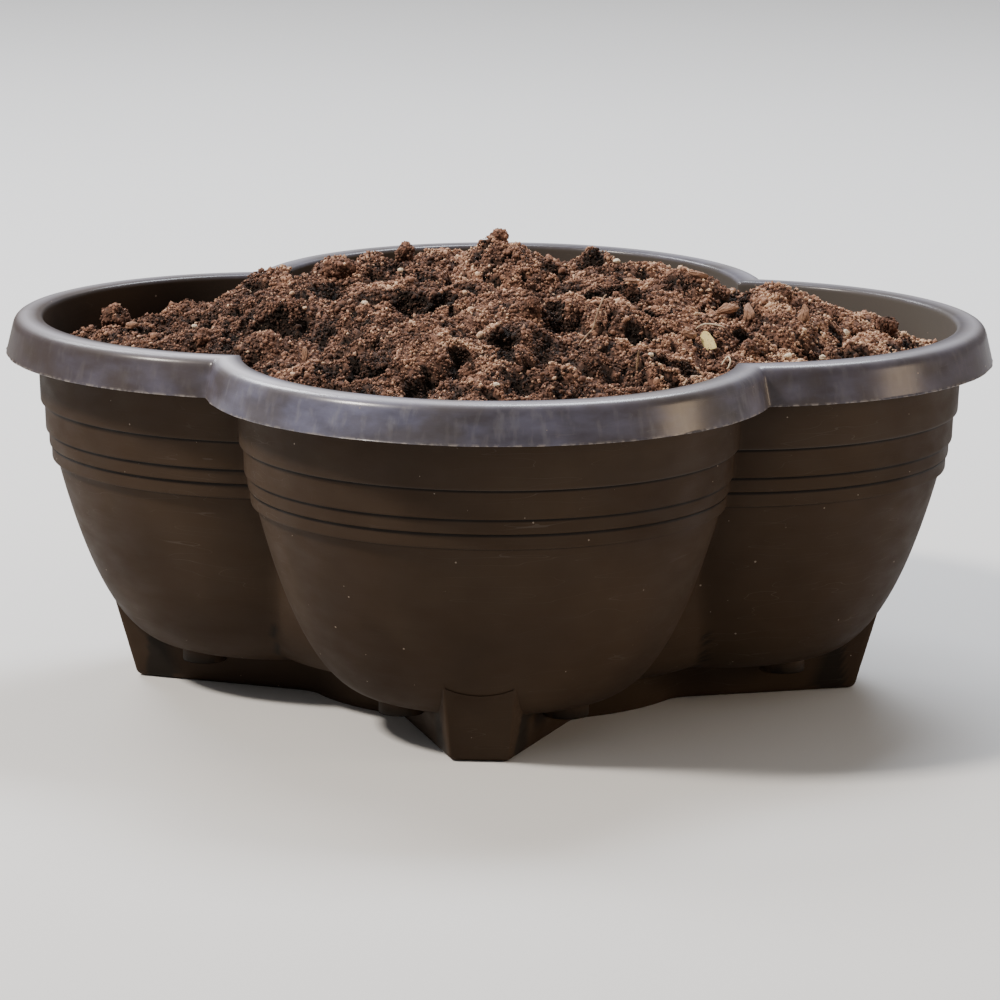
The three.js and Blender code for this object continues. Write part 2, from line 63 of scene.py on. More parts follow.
MM = 0.001
PLANTER_BODY = "planter"
COMPOST_BODY = "compost"
SHARP_ANGLE = 40
SCRAMBLE = 43758.5453
SPACE_PATTERN = (127.1, 311.7, 74.7)
PLAN_PATTERNS = ((127.1, 311.7), (269.5, 183.3), (419.2, 371.9))
SEED_STRIDE = 53.3
LEAST_LUMP = 0.4
GRANULE_STRETCH = (0.6, 1.25)
GRANULE_DENTS = (0.82, 1.14)
PALE_GRANULE = 0.4
PALE_FROM = 0.983


class Slot(Enum):
    """Names of material slots."""

    PLASTIC = "planter_plastic"
    COMPOST = "compost"
    CLOD = "clod"
    BARK = "bark"
    PERLITE = "perlite"
    FIBRE = "fibre"
    LEAF = "leaf"


# Arrays and curves


def eased(points: Sequence[tuple[float, float, float, int]], guard: float = 0.0) -> np.ndarray:
    """Rounds the corners of an open line of points.

    Each corner P is replaced by the curve (1-s)^2 A + 2s(1-s) P + s^2 B, where A and B lie on the two
    sides of the corner at its own cut from it. Points that fall together are dropped.

    Args:
        points: Radius, height and cut of each corner, in millimetres, and the stride that thins out its
            seven points: 1 for a fine curve, 3 or 6 for a coarse one.
        guard: Where it isn't 0, a further point stands this far before A and after B.

    Returns:
        The points of the eased line, one row each.
    """
    table = np.asarray(points, float)
    corner = table[:, :2]
    cut = table[:, 2:3]
    before = np.vstack([corner[:1], corner[:-1]]) - corner
    after = np.vstack([corner[1:], corner[-1:]]) - corner
    before_length = np.linalg.norm(before, axis=1, keepdims=True)
    after_length = np.linalg.norm(after, axis=1, keepdims=True)
    before /= np.maximum(before_length, 1e-9)
    after /= np.maximum(after_length, 1e-9)
    step = np.arange(7)
    share = (step / 6)[None, :, None]
    start = (corner + before * cut)[:, None, :]
    end = (corner + after * cut)[:, None, :]
    line = (1 - share) ** 2 * start + 2 * share * (1 - share) * corner[:, None, :] + share**2 * end
    kept = step[None, :] % table[:, 3:4] == 0
    if guard:
        first = corner + before * np.clip(cut + guard, 0, before_length / 2)
        last = corner + after * np.clip(cut + guard, 0, after_length / 2)
        line = np.concatenate([first[:, None, :], line, last[:, None, :]], axis=1)
        kept = np.pad(kept, ((0, 0), (1, 1)), constant_values=True)
    line = line[kept]
    moved = np.linalg.norm(np.diff(line, axis=0), axis=1) > 1e-6
    return line[np.concatenate([[True], moved])]


def bezier(points: np.ndarray, steps: int) -> tuple[np.ndarray, np.ndarray]:
    """Cubic curve through its end points, with its direction at each step.

    Args:
        points: Four points, one row each.
        steps: Number of points on the curve.

    Returns:
        The curve's points and its unit directions.
    """
    share = np.linspace(0, 1, steps)[:, None]
    rest = 1 - share
    first, second, third, fourth = points
    line = rest**3 * first + 3 * rest**2 * share * second + 3 * rest * share**2 * third + share**3 * fourth
    along = rest**2 * (second - first) + 2 * rest * share * (third - second) + share**2 * (fourth - third)
    return line, along / np.linalg.norm(along, axis=1, keepdims=True)


def soft_max(first: np.ndarray, second: np.ndarray, fillet: float) -> np.ndarray:
    """Larger of two values, eased where they are within a fillet of each other.

    The larger value gains a quarter of the fillet where both are equal, and nothing past the fillet.

    Args:
        first: Values.
        second: Values of the same shape.
        fillet: Width of the easing.

    Returns:
        The eased maximum.
    """
    near = np.maximum(fillet - np.abs(first - second), 0) / fillet
    return np.maximum(first, second) + near**2 * fillet / 4


def soft_min(first: np.ndarray, second: np.ndarray, fillet: float) -> np.ndarray:
    """Smaller of two values, eased as soft_max eases the larger."""
    return -soft_max(-first, -second, fillet)


def smooth_step(share: np.ndarray) -> np.ndarray:
    """Goes from 0 to 1 with level ends, as 3t^2 - 2t^3, and stays there outside that range."""
    held = np.clip(share, 0, 1)
    return held * held * (3 - 2 * held)


def bell(distance: np.ndarray, width: float) -> np.ndarray:
    """Falls from 1 where the distance is 0, as exp(-(d / w)^2)."""
    return np.exp(-((distance / width) ** 2))


def polar(reach: np.ndarray, theta: np.ndarray, height: np.ndarray) -> np.ndarray:
    """Points at a distance from the middle in each direction, at some heights."""
    return np.stack([reach * np.cos(theta), reach * np.sin(theta), height], -1)


def spans(*parts: tuple[float, float, int]) -> np.ndarray:
    """Rising values through ranges that follow each other, from the start, end and count of each."""
    return np.concatenate([np.linspace(*part)[int(k > 0):] for k, part in enumerate(parts)])


def scrambled(cell: np.ndarray, pattern: Sequence[float], offset: float) -> np.ndarray:
    """Random value from 0 to 1 for each grid cell: the fraction of a large multiple of a sine."""
    spread = np.sin(cell @ np.array(pattern) + offset) * SCRAMBLE
    return spread - np.floor(spread)


def noise(points: np.ndarray, seed: float = 0.0) -> np.ndarray:
    """Smooth random values in space, from -0.5 to 0.5.

    A random value stands at each whole-number corner, and the values between are eased along each
    direction.

    Args:
        points: Places, with two or three numbers each, scaled so that lumps are about 1 wide.
        seed: Number that picks another pattern.

    Returns:
        One value for each place.
    """
    flat = points if points.shape[-1] == 3 else np.concatenate([points, np.zeros_like(points[..., :1])], -1)
    cell = np.floor(flat)
    share = smooth_step(flat - cell)
    total = np.zeros(flat.shape[:-1])
    for corner in np.ndindex(2, 2, 2):
        weight = np.prod(np.where(np.array(corner) == 1, share, 1 - share), axis=-1)
        total += weight * scrambled(cell + np.array(corner), SPACE_PATTERN, seed * SEED_STRIDE)
    return total - 0.5


def rough(points: np.ndarray, octaves: int, seed: float = 0.0) -> np.ndarray:
    """Sum of finer and finer noise, each octave at twice the pitch and half the strength."""
    return sum(noise(points * 2.0**k, seed + 11 * k) / 2.0**k for k in range(octaves))


def warped(plan: np.ndarray, shift: float, pitch: float, seed: int) -> np.ndarray:
    """Places in plan moved about by smooth noise, so that a pattern drawn over them winds."""
    return plan + shift * np.stack([noise(plan / pitch, seed), noise(plan / pitch, seed + 1)], -1)


def boulders(points: np.ndarray, seed: float, bluntness: float) -> np.ndarray:
    """Packed lumps of many sizes in plan.

    Every cell of a unit grid holds one lump, at a random spot in it and with a random radius r from 0.4
    to 1. A place's value is the highest of r (1 - d^2 / r^2)^b over the lumps near it, or 0 between them.

    Args:
        points: Places in plan, scaled so that the lumps stand about 1 apart.
        seed: Number that picks another pattern.
        bluntness: The power b: 1 for low mounds, 0.5 for round lumps with upright sides.

    Returns:
        Values from 0 between the lumps to 1 on the largest.
    """
    cell = np.floor(points)
    highest = np.zeros(points.shape[:-1])
    for step in np.ndindex(3, 3):
        at = cell + np.array(step) - 1
        across, along, size = (scrambled(at, pattern, seed) for pattern in PLAN_PATTERNS)
        radius = LEAST_LUMP + (1 - LEAST_LUMP) * size
        centre = at + np.stack([across, along], -1)
        left = 1 - np.sum((points - centre) ** 2, axis=-1) / radius**2
        highest = np.maximum(highest, radius * np.clip(left, 0, 1) ** bluntness)
    return highest


@dataclass(frozen=True)
class Lumps:
    """Packed lumps of one size: how far apart and how high, the mean taken off, bluntness and seed."""

    pitch: float
    height: float
    mean: float
    bluntness: float
    seed: float

    def relief(self, plan: np.ndarray) -> np.ndarray:
        """Height of the lumps over their mean at some places in plan."""
        return self.height * (boulders(plan / self.pitch, self.seed, self.bluntness) - self.mean)


# Meshes


@dataclass
class Surface:
    """Vertices in millimetres and faces of one mesh, with values that belong to its vertices."""

    vertices: np.ndarray
    faces: np.ndarray
    values: dict[str, np.ndarray] = field(default_factory=dict)

    @staticmethod
    def closed_tube(rings: np.ndarray, first: np.ndarray, last: np.ndarray) -> "Surface":
        """Closed surface through rings of points, with a single point at each end.

        Args:
            rings: Points as rings, places round each ring, and x, y, z.
            first: Point before the first ring.
            last: Point after the last ring.

        Returns:
            The surface, with its faces pointing out.
        """
        count, around = rings.shape[:2]
        vertices = np.vstack([first[None], rings.reshape(-1, 3), last[None]])
        index = 1 + np.arange(count * around).reshape(count, around)
        follow = np.roll(index, -1, axis=1)
        walls = np.stack([index[:-1], follow[:-1], follow[1:], index[1:]], -1).reshape(-1, 4)
        start = np.stack([np.zeros(around, int), follow[0], index[0], index[0]], -1)
        end = np.stack([np.full(around, len(vertices) - 1), index[-1], follow[-1], follow[-1]], -1)
        return Surface(vertices, np.vstack([walls, start, end])).outward()

    def outward(self) -> "Surface":
        """The same closed surface, turned if its enclosed volume comes out negative."""
        corner = self.vertices[self.faces]
        first = np.einsum("ij,ij->i", corner[:, 0], np.cross(corner[:, 1], corner[:, 2]))
        second = np.einsum("ij,ij->i", corner[:, 0], np.cross(corner[:, 2], corner[:, 3]))
        if np.sum(first) + np.sum(second) < 0:
            return Surface(self.vertices, self.faces[:, ::-1].copy(), self.values)
        return self

    @staticmethod
    def joined(parts: Sequence["Surface"]) -> "Surface":
        """One surface that holds several."""
        starts = np.cumsum([0] + [len(part.vertices) for part in parts[:-1]])
        faces = np.vstack([part.faces + start for part, start in zip(parts, starts)])
        names = parts[0].values.keys()
        values = {name: np.concatenate([part.values[name] for part in parts]) for name in names}
        return Surface(np.vstack([part.vertices for part in parts]), faces, values)

    def to_object(self, name: str) -> bpy.types.Object:
        """Makes the Blender object, in metres and shaded smooth, and links it to the scene."""
        same = self.faces[:, 2] == self.faces[:, 3]
        quads = self.faces[~same]
        triangles = self.faces[same][:, :3]
        loops = np.concatenate([quads.ravel(), triangles.ravel()]).astype(np.int32)
        sizes = np.concatenate([np.full(len(quads), 4), np.full(len(triangles), 3)])
        mesh = bpy.data.meshes.new(name)
        mesh.vertices.add(len(self.vertices))
        mesh.vertices.foreach_set("co", (self.vertices * MM).astype(np.float32).ravel())
        mesh.loops.add(len(loops))
        mesh.loops.foreach_set("vertex_index", loops)
        mesh.polygons.add(len(sizes))
        mesh.polygons.foreach_set("loop_start", (np.cumsum(sizes) - sizes).astype(np.int32))
        mesh.update(calc_edges=True)
        mesh.validate()
        for key, value in self.values.items():
            store_values(mesh, key, value)
        mesh.shade_smooth()
        made = bpy.data.objects.new(name, mesh)
        bpy.context.scene.collection.objects.link(made)
        return made


def store_values(mesh: bpy.types.Mesh, name: str, value: np.ndarray) -> None:
    """Keeps one number or one row of three for each vertex of a mesh, for the materials to read."""
    kind, key = ("FLOAT", "value") if value.ndim == 1 else ("FLOAT_VECTOR", "vector")
    layer = mesh.attributes.new(name, kind, "POINT")
    layer.data.foreach_set(key, value.astype(np.float32).ravel())


def combine(target: bpy.types.Object, tool: Surface, operation: str) -> None:
    """Joins a solid to an object by UNION, or cuts it out by DIFFERENCE, and keeps only the result."""
    other = tool.to_object("combining_solid")
    step = target.modifiers.new("combine", "BOOLEAN")
    step.operation = operation
    step.solver = "MANIFOLD"
    step.object = other
    bpy.context.view_layer.update()
    shape = bpy.data.meshes.new_from_object(target.evaluated_get(bpy.context.evaluated_depsgraph_get()))
    target.modifiers.clear()
    old = target.data
    target.data = shape
    shape.name = target.name
    bpy.data.meshes.remove(old)
    bpy.data.objects.remove(other)


def vertices_of(mesh: bpy.types.Mesh) -> np.ndarray:
    """Vertices of a mesh, in millimetres, one row each."""
    flat = np.empty(len(mesh.vertices) * 3, np.float32)
    mesh.vertices.foreach_get("co", flat)
    return flat.reshape(-1, 3).astype(float) / MM


def globe_surface(rings: int, around: int, shape: Callable[[np.ndarray], np.ndarray]) -> Surface:
    """Closed surface that a function makes of a sphere's directions.

    Args:
        rings: Number of rings of directions between the two poles.
        around: Number of directions in each ring.
        shape: Takes unit directions and gives points.

    Returns:
        The surface. Its values named local are the sphere's directions.
    """
    up = np.linspace(-math.pi / 2, math.pi / 2, rings + 2)[1:-1, None]
    turn = np.linspace(0, 2 * math.pi, around, endpoint=False)[None, :]
    points = polar(np.cos(up), turn, np.sin(up) * np.ones_like(turn))
    lower, upper = np.array([[0.0, 0.0, -1.0], [0.0, 0.0, 1.0]])
    made = Surface.closed_tube(shape(points), shape(lower[None])[0], shape(upper[None])[0])
    made.values["local"] = np.vstack([lower[None], points.reshape(-1, 3), upper[None]])
    return made


def granules(
    unit: Surface,
    centres: np.ndarray,
    sizes: np.ndarray,
    tone: np.ndarray,
    random: np.random.Generator,
) -> Surface:
    """Copies of a small lump, each turned, stretched and dented its own way.

    Each copy is turned by the rotation matrix of a random unit quaternion (w, x, y, z).

    Args:
        unit: The lump, one across.
        centres: Middle of each copy.
        sizes: Size of each copy.
        tone: Tone of each copy. One in sixty gets a much paler one.
        random: Source of the random draws.

    Returns:
        All the copies as one surface, with their tones.
    """
    count = len(centres)
    spin = random.normal(size=(count, 4))
    spin /= np.linalg.norm(spin, axis=1, keepdims=True)
    w, x, y, z = spin.T
    turn = np.stack([
        1 - 2 * (y * y + z * z), 2 * (x * y - z * w), 2 * (x * z + y * w),
        2 * (x * y + z * w), 1 - 2 * (x * x + z * z), 2 * (y * z - x * w),
        2 * (x * z - y * w), 2 * (y * z + x * w), 1 - 2 * (x * x + y * y),
    ], -1).reshape(count, 3, 3)
    stretch = random.uniform(*GRANULE_STRETCH, (count, 1, 3))
    dents = random.uniform(*GRANULE_DENTS, (count, len(unit.vertices), 1))
    points = unit.vertices[None] * stretch * dents * sizes[:, None, None]
    points = np.einsum("nij,nkj->nki", turn, points) + centres[:, None, :]
    faces = unit.faces[None] + (np.arange(count) * len(unit.vertices))[:, None, None]
    made = Surface(points.reshape(-1, 3), faces.reshape(-1, 4))
    pale = PALE_GRANULE * (random.random(count) > PALE_FROM)
    made.values["tone"] = np.repeat(np.clip(tone + pale, 0, 1), len(unit.vertices))
    return made


# Planter


@dataclass(frozen=True)
class LobePlan:
    """Plan of the planter: equal lobes round a middle."""

    count: int = 4
    offset: float = 84.0

    def from_lobe(self, theta: np.ndarray) -> np.ndarray:
        """Angle from each direction to the nearest lobe's axis, in radians, never negative."""
        pitch = 2 * math.pi / self.count
        return np.abs((theta + pitch / 2) % pitch - pitch / 2)

    def circle_reach(self, angle: np.ndarray, radius: np.ndarray) -> np.ndarray:
        """Distance from the middle to a lobe's circle: L cos a + sqrt(R^2 - L^2 sin^2 a).

        Args:
            angle: Angle from the lobe's axis.
            radius: Radius of the circle.

        Returns:
            The distance, or 0 where the direction misses the circle.
        """
        inside = radius**2 - (self.offset * np.sin(angle)) ** 2
        return np.where(inside > 0, self.offset * np.cos(angle) + np.sqrt(np.maximum(inside, 0)), 0.0)

    def reach(
        self,
        theta: np.ndarray,
        radius: np.ndarray,
        core: np.ndarray,
        seam_fillet: float,
        core_fillet: float,
    ) -> np.ndarray:
        """Distance from the middle to the joint outline of the lobes and the middle bowl.

        Args:
            theta: Directions.
            radius: Radius of the lobes.
            core: Radius of the middle bowl, 0 where there is none.
            seam_fillet: Easing where two lobes meet.
            core_fillet: Easing where a lobe meets the middle bowl.

        Returns:
            The distances.
        """
        angle = self.from_lobe(theta)
        near = self.circle_reach(angle, radius)
        far = self.circle_reach(2 * math.pi / self.count - angle, radius)
        return soft_max(soft_max(near, far, seam_fillet), core + 0 * near, core_fillet)

    @property
    def axes(self) -> np.ndarray:
        """Direction of each lobe's axis."""
        return np.arange(self.count) * 2 * math.pi / self.count

    def lobe_distance(self, points: np.ndarray) -> np.ndarray:
        """Distance in plan from each point to the nearest lobe's axis."""
        centres = self.offset * np.stack([np.cos(self.axes), np.sin(self.axes)], -1)
        away = points[..., None, :2] - centres
        return np.min(np.linalg.norm(away, axis=-1), axis=-1)

    def directions(self, fractions: np.ndarray) -> np.ndarray:
        """Directions all round, from rising fractions of the way from a lobe's axis to a seam."""
        half = math.pi / self.count * fractions
        one = np.concatenate([-half[::-1][:-1], half[:-1]])
        return (self.axes[:, None] + one[None, :]).ravel()


@dataclass(frozen=True)
class Band:
    """One stepped band of the wall: its height, and the step in below it."""

    height: float
    step: float


@dataclass(frozen=True)
class RimWearAndPaintedLight:
    """How the rim has aged on each side, and the light and shade painted on the rim and the inner faces. Directions
    are in radians from +X, and so are widths.
    """

    bleach: float = 0.6
    front_painted_light: float = 0.4
    front: float = math.radians(-107.0)
    front_width: float = 0.32
    left_painted_shade: float = 0.48
    right_painted_shade: float = 0.3
    side_width: float = 0.5
    crest_highlight: float = 0.3
    front_crest_highlight: float = 0.7
    crest_highlight_side: float = -2.18
    crest_highlight_width: float = 0.6
    inner: float = 0.54
    inner_right_painted_light: float = 0.46

    def bleached_and_painted_light(self, angle: np.ndarray) -> np.ndarray:
        """How pale the rim is: a chalky paleness all round, with painted light most a little left of the front and
        painted shade at both ends.
        """
        share = self.bleach + self.front_painted_light * bell(angle - self.front, self.front_width)
        share -= self.left_painted_shade * bell(math.pi - np.abs(angle), self.side_width)
        share -= self.right_painted_shade * bell(angle, self.side_width)
        return share

    def painted_highlight(self, angle: np.ndarray) -> np.ndarray:
        """Strength of the painted highlight along the rim's crest, most at the front left."""
        return self.crest_highlight + self.front_crest_highlight * bell(angle - self.crest_highlight_side, self.crest_highlight_width)

    def lit_inside(self, angle: np.ndarray) -> np.ndarray:
        """How grey the inner faces are: a dusty grey with painted light, most on the right."""
        return self.inner + self.inner_right_painted_light * np.cos(angle)


@dataclass
class Planter:
    """The moulded tier: rim, stepped wall, bowls, base skirt with feet, and drain collars."""

    plan: LobePlan = field(default_factory=LobePlan)
    height: float = 142.0
    rim_radius: float = 106.0
    wall: float = 2.6
    wall_lean: float = 0.045
    rim_drop: float = 14.4
    rim_flare: float = 3.2
    rim_overhang: float = 11.5
    rim_band: float = 2.4
    rim_web: float = 2.8
    crown: float = 3.8
    lip: float = 1.2
    bands: tuple[Band, ...] = (Band(33.0, 1.5), Band(11.0, 1.1), Band(5.7, 0.8), Band(5.7, 1.9))
    floor_height: float = 15.2
    floor_radius: float = 43.0
    core_seam_inset: float = 10.5
    core_floor_radius: float = 84.0
    core_drop: float = 20.4
    drum_radius: float = 76.0
    foot_reach: float = 139.0
    foot_half_width: float = 10.8
    foot_end_draft: float = 0.28
    foot_rounding: float = 2.6
    end_rounded: float = 0.9
    side_rounded: float = 0.7
    foot_angle: float = 0.086
    foot_ledge: float = 1.1
    ledge_depth: float = 1.9
    ledge_rise: float = 0.25
    side_draft: float = 0.094
    fin_spread: float = 0.323
    fin_fillet: float = 1.6
    drum_fillet: float = 5.0
    skirt: float = 2.6
    skirt_span: float = 20.0
    skirt_height: float = 34.0
    drain_reach: float = 111.0
    drain_spacing: float = 61.0
    drain_radius: float = 5.5
    collar: float = 3.0
    collar_drop: float = 3.4
    seam_fillet: float = 1.2
    core_fillet: float = 4.0
    bowl_bulge: tuple[float, float, float] = (0.455, 0.225, 0.53)
    core_bulge: tuple[float, float, float] = (0.71, 0.14, 0.51)
    bowl_steps: int = 26
    core_steps: int = 60
    flash: float = 0.55
    rim_wear_and_light: RimWearAndPaintedLight = field(default_factory=RimWearAndPaintedLight)

    @property
    def wall_radius(self) -> float:
        """Radius of a lobe's wall at the crest."""
        return self.rim_radius - self.rim_overhang

    @property
    def shoulder(self) -> np.ndarray:
        """Radius and height of a lobe's wall under its lowest band."""
        drop = sum(band.height for band in self.bands)
        inward = sum(band.height * self.wall_lean + band.step for band in self.bands)
        return np.array([self.wall_radius - inward, self.height - drop])

    def hollow(self, start: float, end: Sequence[float], bulge: Sequence[float], steps: int) -> tuple:
        """Cubic curve of a bowl's section, from its flat floor up to its end.

        Args:
            start: Radius of the flat floor.
            end: Radius and height of the end.
            bulge: How far the curve follows the floor, and how far in from the end and down from it the
                upper handle stands, in shares of the bowl's width, width and height.
            steps: Number of points.

        Returns:
            The curve's points, and its unit directions turned inwards.
        """
        radius, top = end
        width = radius - start
        line, along = bezier(np.array([
            [start, self.floor_height],
            [start + bulge[0] * width, self.floor_height],
            [radius - bulge[1] * width, top - bulge[2] * (top - self.floor_height)],
            [radius, top],
        ]), steps)
        return line, np.stack([-along[:, 1], along[:, 0]], -1)

    def bowl(self, inset: float) -> np.ndarray:
        """Curve of a lobe's bowl from its flat floor to its shoulder, moved inwards by an inset."""
        line, inwards = self.hollow(self.floor_radius, self.shoulder, self.bowl_bulge, self.bowl_steps)
        return line + inset * inwards

    def core(self, inset: float) -> np.ndarray:
        """Curve of the middle bowl from its flat floor up to the lobes' shoulder, moved inwards."""
        shoulder_radius, shoulder_height = self.shoulder
        half = math.pi / self.plan.count
        seam = self.plan.offset * math.cos(half)
        seam += math.sqrt(shoulder_radius**2 - (self.plan.offset * math.sin(half)) ** 2)
        end = (seam - self.core_seam_inset, shoulder_height - self.core_drop)
        line, inwards = self.hollow(self.core_floor_radius, end, self.core_bulge, self.core_steps)
        return np.vstack([line + inset * inwards, [end[0] - inset, shoulder_height]])

    def core_radius(self, height: np.ndarray, inset: float) -> np.ndarray:
        """Radius of the middle bowl at some heights, 0 above the lobes' shoulder."""
        curve = self.core(inset)
        radius = np.interp(height, curve[:, 1], curve[:, 0])
        return np.where(height < self.shoulder[1] - 1, radius, 0.0)

    def band_corners(self, inset: float, outer_cut: float, inner_cut: float) -> list[tuple]:
        """Corners of the stepped wall from its lowest band up, without the crest.

        Args:
            inset: How far the wall's line is moved inwards.
            outer_cut: Rounding of the corners that stand out.
            inner_cut: Rounding of the corners in the steps.

        Returns:
            Radius, height, rounding and stride of each corner.
        """
        corners: list[tuple] = []
        radius = self.wall_radius
        height = self.height
        for band in self.bands:
            lower = radius - self.wall_lean * band.height
            corners.insert(0, (radius - inset, height + inset, inner_cut, 3))
            corners.insert(0, (lower - inset, height - band.height + inset, outer_cut, 3))
            radius = lower - band.step
            height -= band.height
        corners.insert(0, (radius - inset, height + inset, inner_cut, 3))
        return corners[:-1]

    def section(self) -> tuple[np.ndarray, np.ndarray]:
        """Section of a lobe, from the outside of its floor, over the rim, to the inside of its floor.

        Returns:
            Radius and height of each point, and the radius of the middle bowl beside it.
        """
        outer_bowl = self.bowl(0)
        outer_bands = self.band_corners(0, 0.55, 0.7)
        underside = self.height - self.rim_web
        bottom = self.height - self.rim_drop
        slope = self.rim_flare / (self.rim_drop - self.crown)
        band_inside = self.rim_radius - self.rim_band
        rim = [
            (self.wall_radius - self.wall_lean * self.rim_web, underside, 0.8, 3),
            (band_inside - slope * (underside - bottom), underside, 0.8, 3),
            (band_inside, bottom, 0.35, 3),
            (self.rim_radius, bottom, 0.55, 2),
            (self.rim_radius - self.rim_flare * 1.06, self.height, self.crown, 1),
            (self.wall_radius - self.wall, self.height, self.lip * 1.4, 2),
        ]
        inner_bands = self.band_corners(self.wall, 0.4, 0.4)[::-1]
        line = eased(outer_bands + rim + inner_bands, 0.6)
        last = outer_bowl[-2] - outer_bowl[-1]
        under_bands = outer_bowl[-1] + 0.85 * last / np.linalg.norm(last)
        line = np.vstack([outer_bowl[:-1], under_bands, line, self.bowl(self.wall)[::-1][1:]])
        outside = np.arange(len(line)) < len(outer_bowl)
        core = np.where(outside, self.core_radius(line[:, 1], 0), self.core_radius(line[:, 1], self.wall))
        return line, core

    def shell(self) -> Surface:
        """Bowls, wall and rim as one closed surface.

        Each ring is the outline of the lobes and the middle bowl for one point of the section, and the
        floors are that outline drawn in towards the middle.

        Returns:
            The surface.
        """
        theta = self.plan.directions(spans((0, 0.9, 38), (0.9, 1, 13)))
        line, core = self.section()
        reach = self.plan.reach(theta[None], line[:, :1], core[:, None], self.seam_fillet, self.core_fillet)
        lower_edge = (line[:, 1:] < self.height - self.rim_drop + 0.3) & (line[:, :1] > self.rim_radius - 0.5)
        ragged = np.clip(rough(np.stack([theta * 34, theta], -1), 2, 12.0) + 0.3, 0, 1)
        reach = reach + lower_edge * self.flash * ragged
        height = line[:, 1:2] + 0 * reach
        inward = np.array([0.15, 0.35, 0.55, 0.75, 0.9])[:, None]
        reach = np.vstack([inward * reach[:1], reach, inward[::-1] * reach[-1:]])
        height = np.vstack([height[:1] + 0 * inward, height, height[-1:] + 0 * inward])
        bottom = np.array([0, 0, height[0, 0]])
        top = np.array([0, 0, height[-1, 0]])
        return Surface.closed_tube(polar(reach, theta, height), bottom, top)

    def star_reach(self, theta: np.ndarray, height: np.ndarray, inset: float) -> np.ndarray:
        """Distance from the middle to the base skirt's outline.

        A fin is the nearer of its end, E / cos a, and its side, (w + f E) / (sin a + f cos a), where w is
        half the foot's width and f the spread of the fin, and the drum shows where it stands out past
        the fins. The foot's lowest edges are rounded by R - sqrt(R^2 - (R - h)^2).

        Args:
            theta: Directions.
            height: Heights above the ground.
            inset: How far the outline is moved inwards.

        Returns:
            The distances.
        """
        angle = self.plan.from_lobe(theta)
        rounding = self.foot_rounding
        above = np.clip(rounding - height, 0, rounding)
        rounded = rounding - np.sqrt(rounding**2 - above**2)
        reach = self.foot_reach + self.foot_end_draft * height - inset - self.end_rounded * rounded
        half = self.foot_half_width + self.side_draft * height - inset * math.hypot(1, self.fin_spread)
        half = half - self.side_rounded * rounded
        root = self.drum_radius / 2
        spread = self.fin_spread * (self.foot_reach - root) / (reach - root)
        end = reach / np.cos(angle)
        side = (half + spread * reach) / (np.sin(angle) + spread * np.cos(angle))
        drum = self.drum_radius + self.side_draft * height - inset
        return soft_max(soft_min(end, side, self.fin_fillet), drum + 0 * end, self.drum_fillet)

    def star_top(self, theta: np.ndarray, inset: float) -> np.ndarray:
        """Height in each direction at which the base skirt runs into the bowls' outside."""
        heights = np.linspace(self.floor_height, self.floor_height + self.skirt_span, 160)[:, None]
        lobe = np.interp(heights[:, 0], self.bowl(0)[:, 1], self.bowl(0)[:, 0])[:, None]
        core = self.core_radius(heights, 0)
        bowls = self.plan.reach(theta[None], lobe, core, self.seam_fillet, self.core_fillet)
        met = bowls > self.star_reach(theta[None], heights, inset)
        return heights[np.argmax(met, axis=0), 0]

    def skirt_ring(self) -> Surface:
        """Base skirt with its four fins and feet, as a closed wall that ends inside the bowls' wall."""
        theta = self.plan.directions(spans((0, 0.06, 4), (0.06, 0.16, 18), (0.16, 1, 34)))
        sink = self.wall / 2
        low = self.foot_rounding
        outer_top = self.star_top(theta, 0) + sink
        inner_top = self.star_top(theta, self.skirt) + sink
        share = np.linspace(0, 1, 9)[1:, None]
        bottom = ((0.3, 0.0), (0.1, 0.12), (0.0, 0.45), (0.0, 1.0), (0.0, 1.7), (0.0, low))
        on_foot = self.plan.from_lobe(theta) < self.foot_angle
        outer_top = outer_top - (sink + self.foot_ledge) * on_foot
        outer_edge = [(inset, height + 0 * theta) for inset, height in bottom]
        inner_edge = [(self.skirt - inset, height + 0 * theta) for inset, height in bottom[::-1]]
        outer = [(0.0, low + part * (outer_top - low)) for part in share]
        outer.append((self.ledge_depth * on_foot, outer_top + self.ledge_rise * on_foot))
        inner = [(self.skirt, low + part * (inner_top - low)) for part in share[::-1]]
        rows = inner + inner_edge + outer_edge + outer
        rings = np.stack([polar(self.star_reach(theta, height, inset), theta, height) for inset, height in rows])
        count, around = rings.shape[:2]
        index = np.arange(count * around).reshape(count, around)
        follow = np.roll(index, -1, axis=1)
        down = np.roll(index, -1, axis=0)
        corner = np.roll(follow, -1, axis=0)
        faces = np.stack([index, follow, corner, down], -1).reshape(-1, 4)
        return Surface(rings.reshape(-1, 3), faces).outward()

    def posts(self, profile: Sequence[tuple[float, float, float, int]]) -> Surface:
        """A turned solid at every drain hole.

        Args:
            profile: Radius, height, rounding and stride of the solid's corners, from the bottom up.

        Returns:
            All of them as one surface.
        """
        line = eased(profile)
        turn = np.linspace(0, 2 * math.pi, 40, endpoint=False)
        rings = polar(line[:, :1], turn, line[:, 1:] + 0 * turn)
        one = Surface.closed_tube(rings, np.array([0, 0, line[0, 1]]), np.array([0, 0, line[-1, 1]]))
        made = []
        for turned in self.plan.axes:
            for side in (-0.5, 0.5):
                start = Vector((self.drain_reach, side * self.drain_spacing, 0))
                place = Matrix.Rotation(turned, 3, "Z") @ start
                made.append(Surface(one.vertices + np.array(place), one.faces))
        return Surface.joined(made)

